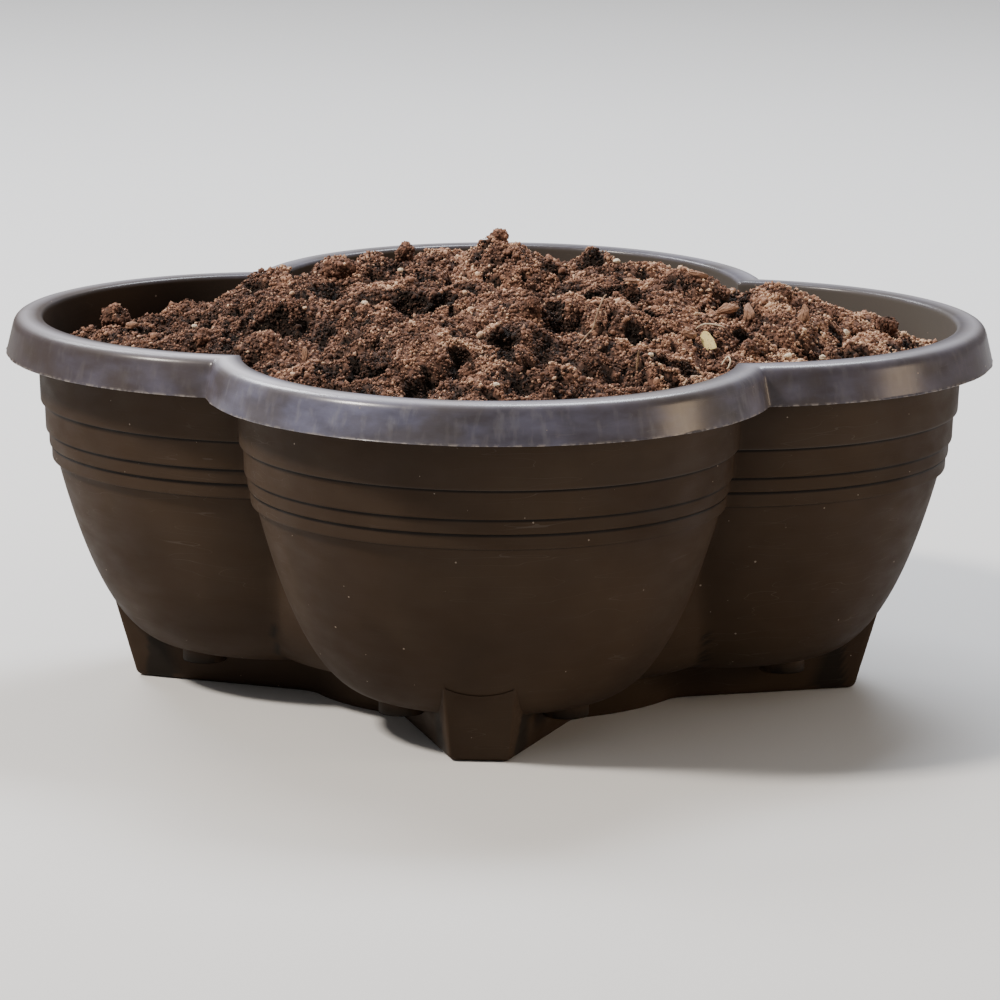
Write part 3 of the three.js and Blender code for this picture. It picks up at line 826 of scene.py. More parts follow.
    def wear_and_light_masks(self, points: np.ndarray) -> dict[str, np.ndarray]:
        """Where the moulding is aged, scuffed and dusty, and where light and shade are painted on it.

        Args:
            points: The moulding's vertices.

        Returns:
            Values from 0 to 1: crest along the top of the rim, for a painted highlight; weathered_and_painted_light
                on the rim, for its chalky paleness with painted light at the front left and painted shade at both
                ends; edge along the rim's lower edge; groove, painted shade under the steps of the wall; inside on
                the faces that look at the compost, for their dusty grey with painted light on the right; and skirt,
                painted shade on the base.
        """
        marks = self.rim_wear_and_light
        radius = self.plan.lobe_distance(points)
        height = points[:, 2]
        angle = np.arctan2(points[:, 1], points[:, 0])
        bottom = self.height - self.rim_drop
        band = smooth_step((height - bottom + 1.5) / 1.5)
        band = band * smooth_step((radius - self.wall_radius - 0.3) / 1.5)
        on_rim = np.maximum(band, smooth_step(height - self.height + 1.6))
        from_crest = np.hypot(height - self.height, 0.55 * (radius - self.rim_radius + self.rim_flare + 4.0))
        step_heights = self.height - np.cumsum([band.height for band in self.bands])
        under_step = step_heights[None, :] - height[:, None]
        outside = radius > self.wall_radius - self.wall - 6.5
        rim_edge = bell(height - bottom, 0.5) * (radius > self.rim_radius - 2)
        bands = np.array(self.band_corners(0, 0, 0))
        outer = np.interp(height, bands[:, 1], bands[:, 0], right=self.wall_radius)
        inside = smooth_step((outer - self.wall / 2 - radius) / 0.8) * (height > self.shoulder[1])
        lobe = np.interp(height, self.bowl(0)[:, 1], self.bowl(0)[:, 0])
        from_middle = np.hypot(points[:, 0], points[:, 1])
        skirt = (radius > lobe + 0.4) & (from_middle > self.core_radius(height, 0) + 0.4)
        skirt = skirt & (height < self.skirt_height)
        skirt = skirt & (from_middle * np.cos(self.plan.from_lobe(angle)) < self.foot_reach - 4)
        return {
            # Painted highlight along the rim's crest.
            "crest": bell(from_crest, 1.5) * marks.painted_highlight(angle),
            # The rim's chalky grey, with painted light at the front left and painted shade at both ends.
            "weathered_and_painted_light": on_rim * marks.bleached_and_painted_light(angle),
            "edge": np.clip(rim_edge, 0, 1),
            # Painted shade in a thin line under each step of the wall.
            "groove": np.any((under_step > -0.05) & (under_step < 0.75), axis=1) * outside,
            # Dusty grey inner faces, with painted light strongest on the right.
            "inside": inside * marks.lit_inside(angle),
            # Painted shade on the base skirt and its feet.
            "skirt": skirt,
        }

    def build(self) -> bpy.types.Object:
        """Makes the moulding as one closed piece with its drain holes open."""
        made = self.shell().to_object("planter_moulding")
        combine(made, self.skirt_ring(), "UNION")
        outer = self.drain_radius + self.collar
        low = self.floor_height - self.collar_drop
        inside_floor = self.floor_height + self.wall / 2
        collars = self.posts([(outer - 0.6, low, 0.5, 3), (outer, low, 0.6, 3), (outer, inside_floor, 0, 6)])
        combine(made, collars, "UNION")
        bore = self.drain_radius
        combine(made, self.posts([(bore, low - 4, 0, 6), (bore, self.floor_height + 6, 0, 6)]), "DIFFERENCE")
        for key, value in self.wear_and_light_masks(vertices_of(made.data)).items():
            store_values(made.data, key, value)
        made.data.shade_smooth()
        made.data.set_sharp_from_angle(angle=math.radians(SHARP_ANGLE))
        return made


# Compost


@dataclass(frozen=True)
class Hill:
    """Low hill or hollow of the compost: its spot in shares of the fill's reach, rise and spread."""

    at: tuple[float, float]
    rise: float
    spread: float


@dataclass
class Compost:
    """The bed of compost, and the height of its surface."""

    planter: Planter
    pieces: Sequence[tuple[float, float, float]]
    gap: float = 0.3
    freeboard: float = 15.0
    dome_height: float = 28.0
    dome_radius: float = 125.0
    dome_edge: float = 5.0
    dome_shift: float = 6.0
    wall_dip: float = 8.0
    wall_dip_width: float = 15.0
    hummock_size: float = 30.0
    hummock_height: float = 5.0
    mounds: Lumps = Lumps(23.0, 9.5, 0.55, 1.0, 30.0)
    large_clods: Lumps = Lumps(11.0, 4.8, 0.74, 0.6, 2.0)
    small_clods: Lumps = Lumps(5.2, 3.3, 0.66, 0.45, 3.0)
    fill_edge: float = 112.0
    hill_height: float = 10.0
    hill_radius: float = 15.0
    hills: tuple[Hill, ...] = (
        Hill((-0.017, 0.33), 1.15, 1.0),
        Hill((-0.359, 0.342), 0.4, 1.0),
        Hill((0.177, 0.347), 0.7, 0.87),
        Hill((-0.171, -0.114), 0.3, 1.07),
        Hill((0.256, -0.142), 0.3, 0.93),
        Hill((0.655, 0.103), 0.45, 1.07),
        Hill((0.837, 0.216), 0.3, 1.07),
        Hill((-0.786, 0.239), -0.4, 1.07),
        Hill((-0.194, 0.342), -0.3, 0.67),
        Hill((-0.79, 0.36), -0.5, 0.8),
    )
    pits: tuple[Hill, ...] = (
        Hill((0.212, -0.18), -0.9, 0.42),
        Hill((0.034, -0.51), -0.8, 0.34),
        Hill((-0.052, -0.6), -0.75, 0.34),
        Hill((-0.107, -0.225), -0.6, 0.34),
        Hill((-0.194, -0.2), -0.6, 0.4),
        Hill((0.253, -0.143), -0.5, 0.28),
        Hill((-0.48, -0.257), -0.65, 0.36),
        Hill((0.54, -0.285), -0.6, 0.24),
        Hill((0.125, -0.27), -0.5, 0.28),
        Hill((0.326, -0.27), -0.45, 0.26),
        Hill((0.376, -0.549), -0.6, 0.3),
        Hill((0.41, -0.54), -0.5, 0.26),
        Hill((-0.235, -0.663), -0.5, 0.26),
        Hill((0.107, 0.216), -0.6, 0.34),
    )
    hollow_depth: float = 3.0
    hollow_size: float = 4.4
    crumb_size: float = 1.02
    crumb_count: int = 104000
    pit_crumbs: int = 460
    nugget_size: float = 2.1
    nugget_count: int = 2000
    sectors: int = 8
    seed: int = 7

    @property
    def reach(self) -> float:
        """Distance from the middle to the end of the fill."""
        planter = self.planter
        return planter.plan.offset + planter.wall_radius - planter.wall - self.gap

    def mound(self, points: np.ndarray) -> np.ndarray:
        """Height of the compost's broad surface: a dome that dips at the wall, with hills and mounds.

        Args:
            points: Places in plan.

        Returns:
            The heights.
        """
        planter = self.planter
        plan = points[..., :2]
        from_middle = np.hypot(plan[..., 0] - self.dome_shift, plan[..., 1])
        dome = self.dome_height / (1 + (from_middle / self.dome_radius) ** self.dome_edge)
        to_wall = np.maximum(planter.wall_radius - planter.wall - planter.plan.lobe_distance(plan), 0)
        dip = self.wall_dip * np.exp(-to_wall / self.wall_dip_width)
        hummocks = self.hummock_height * noise(plan / self.hummock_size)
        height = planter.height - self.freeboard + dome - dip + hummocks + self.mounds.relief(plan)
        return height + self.hill_sum(plan, self.hills, 2)

    def hill_sum(self, plan: np.ndarray, hills: Sequence[Hill], power: float) -> np.ndarray:
        """Sum of round hills or hollows, each falling off as exp(-d^power) in shares of its radius.

        Args:
            plan: Places in plan.
            hills: The hills.
            power: 2 for a soft foot, more for upright sides.

        Returns:
            The sum at each place.
        """
        total = np.zeros(plan.shape[:-1])
        for hill in hills:
            away = np.linalg.norm(plan - np.array(hill.at) * self.reach, axis=-1)
            near = (away / (self.hill_radius * hill.spread)) ** power
            total += self.hill_height * hill.rise * np.exp(-near)
        return total

    def holes(self, points: np.ndarray) -> np.ndarray:
        """Depth of the dark gaps between the clods, and of the pits."""
        plan = points[..., :2]
        ragged = 3.2 * noise(plan / 4.5, 6)
        wander = warped(plan @ np.array([[0.79, 0.61], [-0.61, 0.79]]), 4, 5, 33)
        ridged = noise(wander / self.hollow_size, 31) + 0.35 * noise(wander / 1.8, 32)
        gaps = self.hollow_depth * smooth_step((ridged - 0.15) / 0.17)
        return gaps - self.hill_sum(plan + ragged[..., None], self.pits, 4)

    def from_pieces(self, plan: np.ndarray) -> np.ndarray:
        """Distance from each place in plan to the nearest loose piece's outline, taken as a circle."""
        nearest = np.full(plan.shape[:-1], 1e3)
        for middle_x, middle_y, radius in self.pieces:
            away = np.hypot(plan[..., 0] - middle_x, plan[..., 1] - middle_y) - radius
            nearest = np.minimum(nearest, away)
        return nearest

    def clod_relief(self, points: np.ndarray) -> np.ndarray:
        """Relief of the broken clods on the broad surface: round lumps 11 and 5 mm apart, and holes."""
        plan = points[..., :2]
        wander = warped(plan, 5, 8, 3)
        large = self.large_clods.relief(wander)
        small = self.small_clods.relief(wander)
        strength = np.clip(0.95 + 1.3 * noise(plan / 26, 5), 0.35, 1.5)
        edge = smooth_step((self.planter.wall_radius - self.planter.plan.lobe_distance(plan) - 3) / 8)
        edge = edge * smooth_step((self.from_pieces(plan) + 0.5) / 3.5)
        return edge * (strength * (large + small) - self.holes(points))

    def height(self, points: np.ndarray) -> np.ndarray:
        """Height of the surface with its clods."""
        return self.mound(points) + self.clod_relief(points)

    def steepness(self, plan: np.ndarray) -> np.ndarray:
        """Area of the surface for each unit of plan: sqrt(1 + slope^2), from steps of 1 mm each way."""
        east = self.height(plan + [0.5, 0]) - self.height(plan - [0.5, 0])
        north = self.height(plan + [0, 0.5]) - self.height(plan - [0, 0.5])
        return np.sqrt(1 + east**2 + north**2)

    def bed(self) -> Surface:
        """The fill as one closed surface: floor, sides against the planter, and the surface on top."""
        planter = self.planter
        inset = planter.wall + self.gap
        theta = planter.plan.directions(np.linspace(0, 1, 49))
        bands = [(radius, height) for radius, height, _, _ in planter.band_corners(inset, 0, 0)]
        line = np.vstack([planter.bowl(inset)[::2], np.array(bands)])
        line = line[line[:, 1] < self.fill_edge]
        travel = np.concatenate([[0], np.cumsum(np.hypot(*np.diff(line, axis=0).T))])
        stations = np.unique(np.concatenate([travel, np.linspace(0, travel[-1], 46)]))
        line = np.stack([np.interp(stations, travel, line[:, k]) for k in range(2)], -1)
        core = planter.core_radius(line[:, 1], inset)
        side = planter.plan.reach(theta[None], line[:, :1], core[:, None], 3.0, 4.0)
        grain = rough(np.stack([theta * 30 + 0 * side, line[:, 1:] / 4 + 0 * side], -1), 2)
        side = side - 0.6 - 0.9 * (grain + 0.5)
        height = line[:, 1:] + 0 * side
        top_radius = np.array([[planter.wall_radius - inset - 0.4]])
        rim = planter.plan.reach(theta[None], top_radius, np.zeros((1, 1)), 3.0, 4.0)
        share = np.linspace(1, 0, 150)[:-1, None]
        reach = share * rim
        plan = np.stack([reach * np.cos(theta), reach * np.sin(theta)], -1)
        surface = self.height(plan) - 0.5
        inward = np.array([0.2, 0.5, 0.8])[:, None]
        climb = np.linspace(0, 1, 9)[1:-1, None]
        upper = side[-1:] + climb * (rim - side[-1:])
        upper = upper - 1.2 * (rough(np.stack([theta * 30 + 0 * upper, climb * 5 + 0 * upper], -1), 2) + 0.5)
        upper_height = height[-1:] + climb * (surface[:1] - height[-1:])
        reach = np.vstack([inward * side[:1], side, upper, reach])
        height = np.vstack([height[:1] + 0 * inward, height, upper_height, surface])
        rings = np.stack([reach * np.cos(theta), reach * np.sin(theta), height], -1)
        top = self.height(np.zeros((1, 2)))[0] - 0.5
        made = Surface.closed_tube(rings, np.array([0, 0, height[0, 0]]), np.array([0, 0, top]))
        relief = np.where(made.vertices[:, 2] > self.fill_edge, self.clod_relief(made.vertices), 0)
        on_top = smooth_step((made.vertices[:, 2] - self.height(made.vertices) + 5) / 4)
        packed = 0.3 + 0.7 * rough(made.vertices / 7, 3, 13)
        tone = on_top * (self.tone(made.vertices, relief) - 0.16) + (1 - on_top) * packed
        made.values["tone"] = tone + 0.35 * rough(made.vertices / 1.3, 2, 9)
        return made

    def tone(self, places: np.ndarray, relief: np.ndarray) -> np.ndarray:
        """Tone of the compost, with painted shade and light: near black in the hollows, gaps and pits, darker low in
        the relief, paler on the clods, and paler towards +X.
        """
        patches = 0.28 * rough(places[..., :2] / 14, 2, 21)
        # Painted light: the compost is paler towards +X.
        side_painted_light = places[..., 0] * 0.0009
        # Painted shade: near black in the hollows, gaps and pits.
        hollow_shade = smooth_step(np.maximum((-relief - 2.4) / 3.5, self.holes(places) / 1.5))
        # Painted shade and light from the relief: darker low, paler on the clods' tops.
        return (0.63 + patches + side_painted_light + 0.085 * np.clip(relief, -4, 2.2)) * (1 - 0.97 * hollow_shade)

    def scattered(self, count: int, margin: float, random: np.random.Generator) -> np.ndarray:
        """Random places in plan on the compost, at least a margin from the wall.

        Args:
            count: Number of places.
            margin: Distance from the wall.
            random: Source of the random draws.

        Returns:
            One row for each place.
        """
        edge = self.planter.wall_radius - self.planter.wall - self.gap - margin
        drawn = random.uniform(-self.reach, self.reach, (count * 2, 2))
        return drawn[self.planter.plan.lobe_distance(drawn) < edge][:count]

    def scatter(
        self,
        unit: Surface,
        places: np.ndarray,
        sizes: np.ndarray,
        sink: float,
        random: np.random.Generator,
    ) -> Surface:
        """Copies of a small lump that lie on the compost.

        Args:
            unit: The lump, one across.
            places: Places in plan.
            sizes: Size of each copy.
            sink: Share of a copy's size that lies under the surface.
            random: Source of the random draws.

        Returns:
            All the copies as one surface, with a tone for each copy.
        """
        relief = self.clod_relief(places)
        base = self.mound(places) + relief + (0.5 - sink) * sizes
        tone = self.tone(places, relief) + random.normal(0, 0.15, len(places))
        return granules(unit, np.concatenate([places, base[:, None]], -1), sizes, tone, random)

    def crumbs(self) -> list[Surface]:
        """The crumbs and nuggets on the surface, as one surface for each sector of the plan."""
        random = np.random.default_rng(self.seed)
        small = self.scattered(3 * self.crumb_count, 0.8, random)
        small = small[random.uniform(0, 3, len(small)) < self.steepness(small)][: self.crumb_count]
        hollows = np.repeat([hill.at for hill in self.pits], self.pit_crumbs, axis=0) * self.reach
        small = np.vstack([small, hollows + random.normal(0, 0.3 * self.hill_radius, hollows.shape)])
        small = small[self.from_pieces(small) > -0.3]
        sizes = np.clip(self.crumb_size * np.exp(random.normal(0, 0.36, len(small))), 0.6, 2.8)
        large = self.scattered(self.nugget_count, 2.5, random)
        large = large[self.from_pieces(large) > 1]
        large_sizes = np.clip(self.nugget_size * np.exp(random.normal(0, 0.2, len(large))), 1.6, 3.6)
        ball = globe_surface(1, 5, lambda point: point / 2)
        pebble = globe_surface(3, 7, lambda point: point / 2)
        made = []
        for sector in range(self.sectors):
            chosen = self.in_sector(small, sector)
            parts = [self.scatter(ball, small[chosen], sizes[chosen], 0.34, random)]
            chosen = self.in_sector(large, sector)
            parts.append(self.scatter(pebble, large[chosen], large_sizes[chosen], 0.5, random))
            made.append(Surface.joined(parts))
        return made

    def in_sector(self, places: np.ndarray, sector: int) -> np.ndarray:
        """Which places lie in one sector of the plan."""
        turn = np.arctan2(places[:, 1], places[:, 0]) / (2 * math.pi) + 0.5
        return np.floor(turn * self.sectors).astype(int) % self.sectors == sector


# Loose pieces


@dataclass(frozen=True)
class Seat:
    """Where a loose piece lies: its middle, its own directions and its half sizes, from the frame."""

    middle: np.ndarray
    axes: np.ndarray
    half: np.ndarray

    @staticmethod
    def of(points: np.ndarray) -> "Seat":
        """Seat of a piece from its vertices.

        The directions are the principal ones of the vertices, the longest first, and the half sizes
        reach the outermost vertices along them.

        Args:
            points: Vertices of the piece in the frame, in millimetres.

        Returns:
            The seat.
        """
        away = points - points.mean(axis=0)
        axes = np.linalg.eigh(away.T @ away)[1][:, ::-1].T
        axes[2] = np.cross(axes[0], axes[1])
        spread = away @ axes.T
        centre = (spread.max(axis=0) + spread.min(axis=0)) / 2
        return Seat(points.mean(axis=0) + centre @ axes, axes, (spread.max(axis=0) - spread.min(axis=0)) / 2)

    def place(self, local: np.ndarray) -> np.ndarray:
        """Points in the frame of points given in shares of the half sizes."""
        return self.middle + (local * self.half) @ self.axes


def clod_surface(points: np.ndarray, seed: float) -> Surface:
    """Broken clod of compost in the box of its CAD solid, with its underside sunk into the bed.

    The clod is a sphere swollen by coarse noise and by packed lumps, and crumbs lie all over it.

    Args:
        points: Vertices of the solid.
        seed: Picks the clod's own pattern.

    Returns:
        The surface.
    """
    low = points.min(axis=0)
    high = points.max(axis=0)
    sunk = 0.3 * (high[2] - low[2])
    middle = (low + high) / 2 - [0, 0, sunk / 2]
    half = (high - low) / 2 + [0, 0, sunk / 2]

    def shape(point: np.ndarray) -> np.ndarray:
        swell = 0.74 + 0.42 * rough(point * 1.2 + seed, 3, seed)
        plan = point[..., :2] * half[:2] + point[..., 2:] * half[2] * 0.7
        swell = swell + 0.26 * (boulders(plan / 3.4, seed, 0.5) - 0.5)
        return middle + point * half * swell[..., None]

    made = globe_surface(34, 60, shape)
    deep = np.linalg.norm((made.vertices - middle) / half, axis=1)
    made.values = {"tone": np.clip(0.17 + 0.75 * (deep - 0.5), 0, 0.66)}
    random = np.random.default_rng(int(seed) + 40)
    chosen = random.integers(0, len(made.vertices), int(1.1 * half[0] * half[2] + 6.5 * half[0] * half[1]))
    sizes = random.uniform(0.9, 1.9, len(chosen))
    tone = made.values["tone"][chosen] + random.normal(0.06, 0.1, len(chosen))
    ball = globe_surface(1, 5, lambda point: point / 2)
    return Surface.joined([made, granules(ball, made.vertices[chosen], sizes, tone, random)])


def chip_surface(points: np.ndarray, seed: float) -> Surface:
    """Chip of bark: a flat rounded block with torn ends and fibres along its length.

    The section is a superellipse, sign(c)|c|^0.75, and ridges run along the longest direction.

    Args:
        points: Vertices of the CAD solid.
        seed: Picks the chip's own pattern.

    Returns:
        The surface.
    """
    seat = Seat.of(points)

    def shape(point: np.ndarray) -> np.ndarray:
        block = np.sign(point) * np.abs(point) ** np.array([0.85, 0.75, 0.7])
        block = block / np.maximum(np.max(np.abs(block), axis=-1, keepdims=True), 1e-6) * 0.3 + block * 0.68
        block = block * (1 + 0.42 * rough(point * 1.8 + seed, 3, seed)[..., None])
        ridge = noise(np.stack([block[..., 0] * 0.8, block[..., 1] * 5, block[..., 2] * 3], -1), seed)
        torn = noise(np.stack([block[..., 1] * 4, block[..., 2] * 3], -1), seed + 5)
        length = block[..., 0] * (1 + 0.4 * torn)
        lean = 0.35 * np.sin(seed * 2.3)
        taper = 1.08 - 0.42 * np.abs(block[..., 0] - lean) ** 1.5
        width = block[..., 1] * taper * (1 + 0.3 * noise(block[..., :1].repeat(2, -1) * 1.6, seed + 2))
        bow = 0.25 * (block[..., 0] ** 2 - 0.4) * np.cos(seed)
        return seat.place(np.stack([length, width + bow, block[..., 2] * taper * (1 + 0.5 * ridge)], -1))

    return globe_surface(26, 44, shape)


def grain_surface(points: np.ndarray, seed: float) -> Surface:
    """Perlite grain: a rounded pebble with a lumpy, pitted surface."""
    low = points.min(axis=0)
    high = points.max(axis=0)
    middle = (low + high) / 2
    half = (high - low) / 2

    def shape(point: np.ndarray) -> np.ndarray:
        swell = 0.92 + 0.35 * rough(point * 1.7 + seed, 2, seed)
        return middle + point * half * swell[..., None]

    return globe_surface(18, 28, shape)


LEAF_LEFT = ((-1.0, -0.64), (-0.2, -1.0), (0.7, -0.78), (1.0, -0.3))
LEAF_RIGHT = ((-1.0, 1.0), (0.2, 0.84), (0.8, 0.4), (1.0, 0.1))


def leaf_surface(points: np.ndarray, seed: float) -> Surface:
    """Dry leaf fragment: a thin curled blade, torn to a wedge, with a raised middle vein.

    The blade lies between two edge lines that run up its length, and its section bends as x^2.

    Args:
        points: Vertices of the CAD solid.
        seed: Picks how its edge is torn.

    Returns:
        The surface.
    """
    seat = Seat.of(points)
    up = np.sign(seat.axes[0, 2])
    right = np.sign(seat.axes[1, 0])

    def shape(point: np.ndarray) -> np.ndarray:
        rounded = np.sign(point) * np.abs(point) ** 0.3
        along = rounded[..., 0] * (1 + 0.05 * noise(point[..., :2] * 3, seed))
        left, far = (np.interp(along, *np.array(line).T) for line in (LEAF_LEFT, LEAF_RIGHT))
        across = (left + far) / 2 + rounded[..., 1] * (far - left) * 0.44
        across = across + 0.08 * noise(point[..., :2] * 4, seed + 1)
        vein = 0.18 * np.exp(-((across / 0.08) ** 2))
        bend = 0.6 - 1.2 * across**2 + 0.3 * np.sin(3 * along)
        return seat.place(np.stack([up * along, right * across, 0.2 * point[..., 2] + 0.5 * bend + vein], -1))

    return globe_surface(24, 48, shape).outward()


def fibre_surface(route: np.ndarray, radius: float) -> Surface:
    """Tube along a route, thinner at its ends.

    Args:
        route: Points of the route.
        radius: Radius in the middle.

    Returns:
        The surface.
    """
    along = np.gradient(route, axis=0)
    along /= np.linalg.norm(along, axis=1, keepdims=True)
    side = np.cross(along, [0.3, 0.1, 1.0])
    side /= np.linalg.norm(side, axis=1, keepdims=True)
    other = np.cross(along, side)
    turn = np.linspace(0, 2 * math.pi, 8, endpoint=False)[None, :, None]
    share = np.linspace(-1, 1, len(route))[:, None, None]
    size = radius * (1 - 0.5 * share**4)
    rings = route[:, None, :] + size * (np.cos(turn) * side[:, None, :] + np.sin(turn) * other[:, None, :])
    return Surface.closed_tube(rings, route[0], route[-1])


@dataclass(frozen=True)
class Fibre:
    """A fibre: its spot in shares of the fill's reach, its size, and its route in shares of its length."""

    node: str
    at: tuple[float, float]
    radius: float
    length: float
    route: tuple[tuple[float, float, float], ...]

    def points(self, compost: Compost, steps: int) -> np.ndarray:
        """Route of the fibre over the compost's broad surface, as an eased line.

        Args:
            compost: What the fibre lies on.
            steps: Number of points.

        Returns:
            One row for each point.
        """
        corners = np.array(self.route) * self.length
        travel = np.concatenate([[0], np.cumsum(np.linalg.norm(np.diff(corners, axis=0), axis=1))])
        at = np.linspace(0, travel[-1], steps)
        line = np.stack([np.interp(at, travel, corners[:, k]) for k in range(3)], -1)
        kernel = np.hanning(steps // 3 | 1)
        kernel /= kernel.sum()
        padded = np.pad(line, ((len(kernel) // 2, len(kernel) // 2), (0, 0)), mode="reflect", reflect_type="odd")
        line = np.stack([np.convolve(padded[:, k], kernel, mode="valid") for k in range(3)], -1)
        plan = line[:, :2] + np.array(self.at) * compost.reach
        height = compost.mound(plan) + compost.gap + self.radius + line[:, 2] + 1.0
        return np.concatenate([plan, height[:, None]], -1)


FIBRES = (
    Fibre("fibre_by_leaf", (0.433, -0.319), 0.35, 11, ((0, 0, 0), (0.27, 0.05, 0.05), (0.64, 0, 0.05), (1, 0.09, 0))),
    Fibre("fibre_arched", (0.188, -0.501), 0.3, 51, ((0, 0, 0), (0.08, 0.35, 0.03), (0.16, 0.71, 0.03), (0.18, 0.98, 0))),
    Fibre("fibre_curl", (0.49, -0.461), 0.35, 10, ((0, 0, 0), (0.25, 0.3, 0.08), (0.35, 0, 0.12), (0.2, -0.3, 0.04))),
)


# Materials


class Shader:
    """Builds one material's nodes."""

    def __init__(self, name: str) -> None:
        """Starts a material with a Principled BSDF.

        Args:
            name: The material's name.
        """
        self.material = bpy.data.materials.new(name)
        self.material.use_nodes = True
        self.nodes = self.material.node_tree.nodes
        self.links = self.material.node_tree.links
        self.surface = self.nodes["Principled BSDF"]

    def node(self, kind: str, **settings: object) -> bpy.types.Node:
        """Adds a node and sets its properties."""
        made = self.nodes.new(kind)
        for key, value in settings.items():
            setattr(made, key, value)
        return made

    def link(self, source: bpy.types.NodeSocket, target: bpy.types.NodeSocket) -> None:
        """Connects two sockets."""
        self.links.new(source, target)

    def set(self, name: str, value: object) -> None:
        """Sets a plain value on the Principled BSDF."""
        self.surface.inputs[name].default_value = value

    def place(self) -> bpy.types.NodeSocket:
        """Object coordinates."""
        return self.node("ShaderNodeTexCoord").outputs["Object"]

    def value(self, name: str) -> bpy.types.NodeSocket:
        """A value that belongs to the mesh."""
        return self.node("ShaderNodeAttribute", attribute_name=name).outputs["Fac"]

    def vector(self, name: str) -> bpy.types.NodeSocket:
        """A vector that belongs to the mesh."""
        return self.node("ShaderNodeAttribute", attribute_name=name).outputs["Vector"]

    def noise(
        self,
        vector: bpy.types.NodeSocket,
        scale: float,
        detail: float = 2.0,
        stretch: tuple[float, float, float] | None = None,
    ) -> bpy.types.NodeSocket:
        """Noise from 0 to 1.

        Args:
            vector: Coordinates.
            scale: Lumps in each metre, or in each unit of the coordinates.
            detail: Octaves.
            stretch: Scale of each coordinate before the noise.

        Returns:
            The noise.
        """
        if stretch is not None:
            mapping = self.node("ShaderNodeMapping")
            mapping.inputs["Scale"].default_value = stretch
            self.link(vector, mapping.inputs["Vector"])
            vector = mapping.outputs["Vector"]
        made = self.node("ShaderNodeTexNoise")
        made.inputs["Scale"].default_value = scale
        made.inputs["Detail"].default_value = detail
        self.link(vector, made.inputs["Vector"])
        return made.outputs["Fac"]

    def ramp(self, source: bpy.types.NodeSocket, stops: Sequence[tuple[float, tuple]]) -> bpy.types.NodeSocket:
        """Colour from a value.

        Args:
            source: The value.
            stops: Position and colour of each stop.

        Returns:
            The colour.
        """
        made = self.node("ShaderNodeValToRGB")
        elements = made.color_ramp.elements
        while len(elements) < len(stops):
            elements.new(0.5)
        for element, (position, colour) in zip(elements, stops):
            element.position = position
            element.color = (*colour, 1.0)
        self.link(source, made.inputs["Fac"])
        return made.outputs["Color"]

    def range(
        self,
        source: bpy.types.NodeSocket,
        low: float,
        high: float,
        start: float,
        end: float,
    ) -> bpy.types.NodeSocket:
        """Value that goes from start to end as the source goes from low to high."""
        made = self.node("ShaderNodeMapRange")
        self.link(source, made.inputs["Value"])
        for name, number in (("From Min", low), ("From Max", high), ("To Min", start), ("To Max", end)):
            made.inputs[name].default_value = number
        return made.outputs["Result"]

    def math(self, operation: str, first: object, second: object) -> bpy.types.NodeSocket:
        """Arithmetic on two values, each a socket or a number."""
        made = self.node("ShaderNodeMath", operation=operation)
        for socket, value in zip(made.inputs, (first, second)):
            if isinstance(value, bpy.types.NodeSocket):
                self.link(value, socket)
            else:
                socket.default_value = value
        return made.outputs["Value"]

    def mix(self, share: object, first: object, second: object, blend: str = "MIX") -> bpy.types.NodeSocket:
        """Mixes two colours, each a socket or a colour.

        Args:
            share: How much of the second.
            first: First colour.
            second: Second colour.
            blend: How they are mixed.

        Returns:
            The mixed colour.
        """
        made = self.node("ShaderNodeMix", data_type="RGBA", blend_type=blend)
        for socket, value in ((made.inputs[0], share), (made.inputs[6], first), (made.inputs[7], second)):
            if isinstance(value, bpy.types.NodeSocket):
                self.link(value, socket)
            elif isinstance(value, tuple):
                socket.default_value = (*value, 1.0)
            else:
                socket.default_value = value
        return made.outputs[2]

    def bump(self, height: bpy.types.NodeSocket, depth: float, strength: float = 1.0) -> None:
        """Raises the surface by a height, on top of any bump before it.

        Args:
            height: The height, from 0 to 1.
            depth: What 1 stands for, in millimetres.
            strength: Strength of the effect.
        """
        made = self.node("ShaderNodeBump")
        made.inputs["Distance"].default_value = depth * MM
        made.inputs["Strength"].default_value = strength
        self.link(height, made.inputs["Height"])
        normal = self.surface.inputs["Normal"]
        if normal.is_linked:
            self.link(normal.links[0].from_socket, made.inputs["Normal"])
        self.link(made.outputs["Normal"], normal)

    def group(self, tree: bpy.types.NodeTree, **inputs: object) -> bpy.types.Node:
        """Places a shared effect, with its own inputs, each a socket or a number."""
        made = self.node("ShaderNodeGroup", node_tree=tree)
        for key, value in inputs.items():
            socket = made.inputs[key.replace("_", " ").title()]
            if isinstance(value, bpy.types.NodeSocket):
                self.link(value, socket)
            else:
                socket.default_value = value
        return made


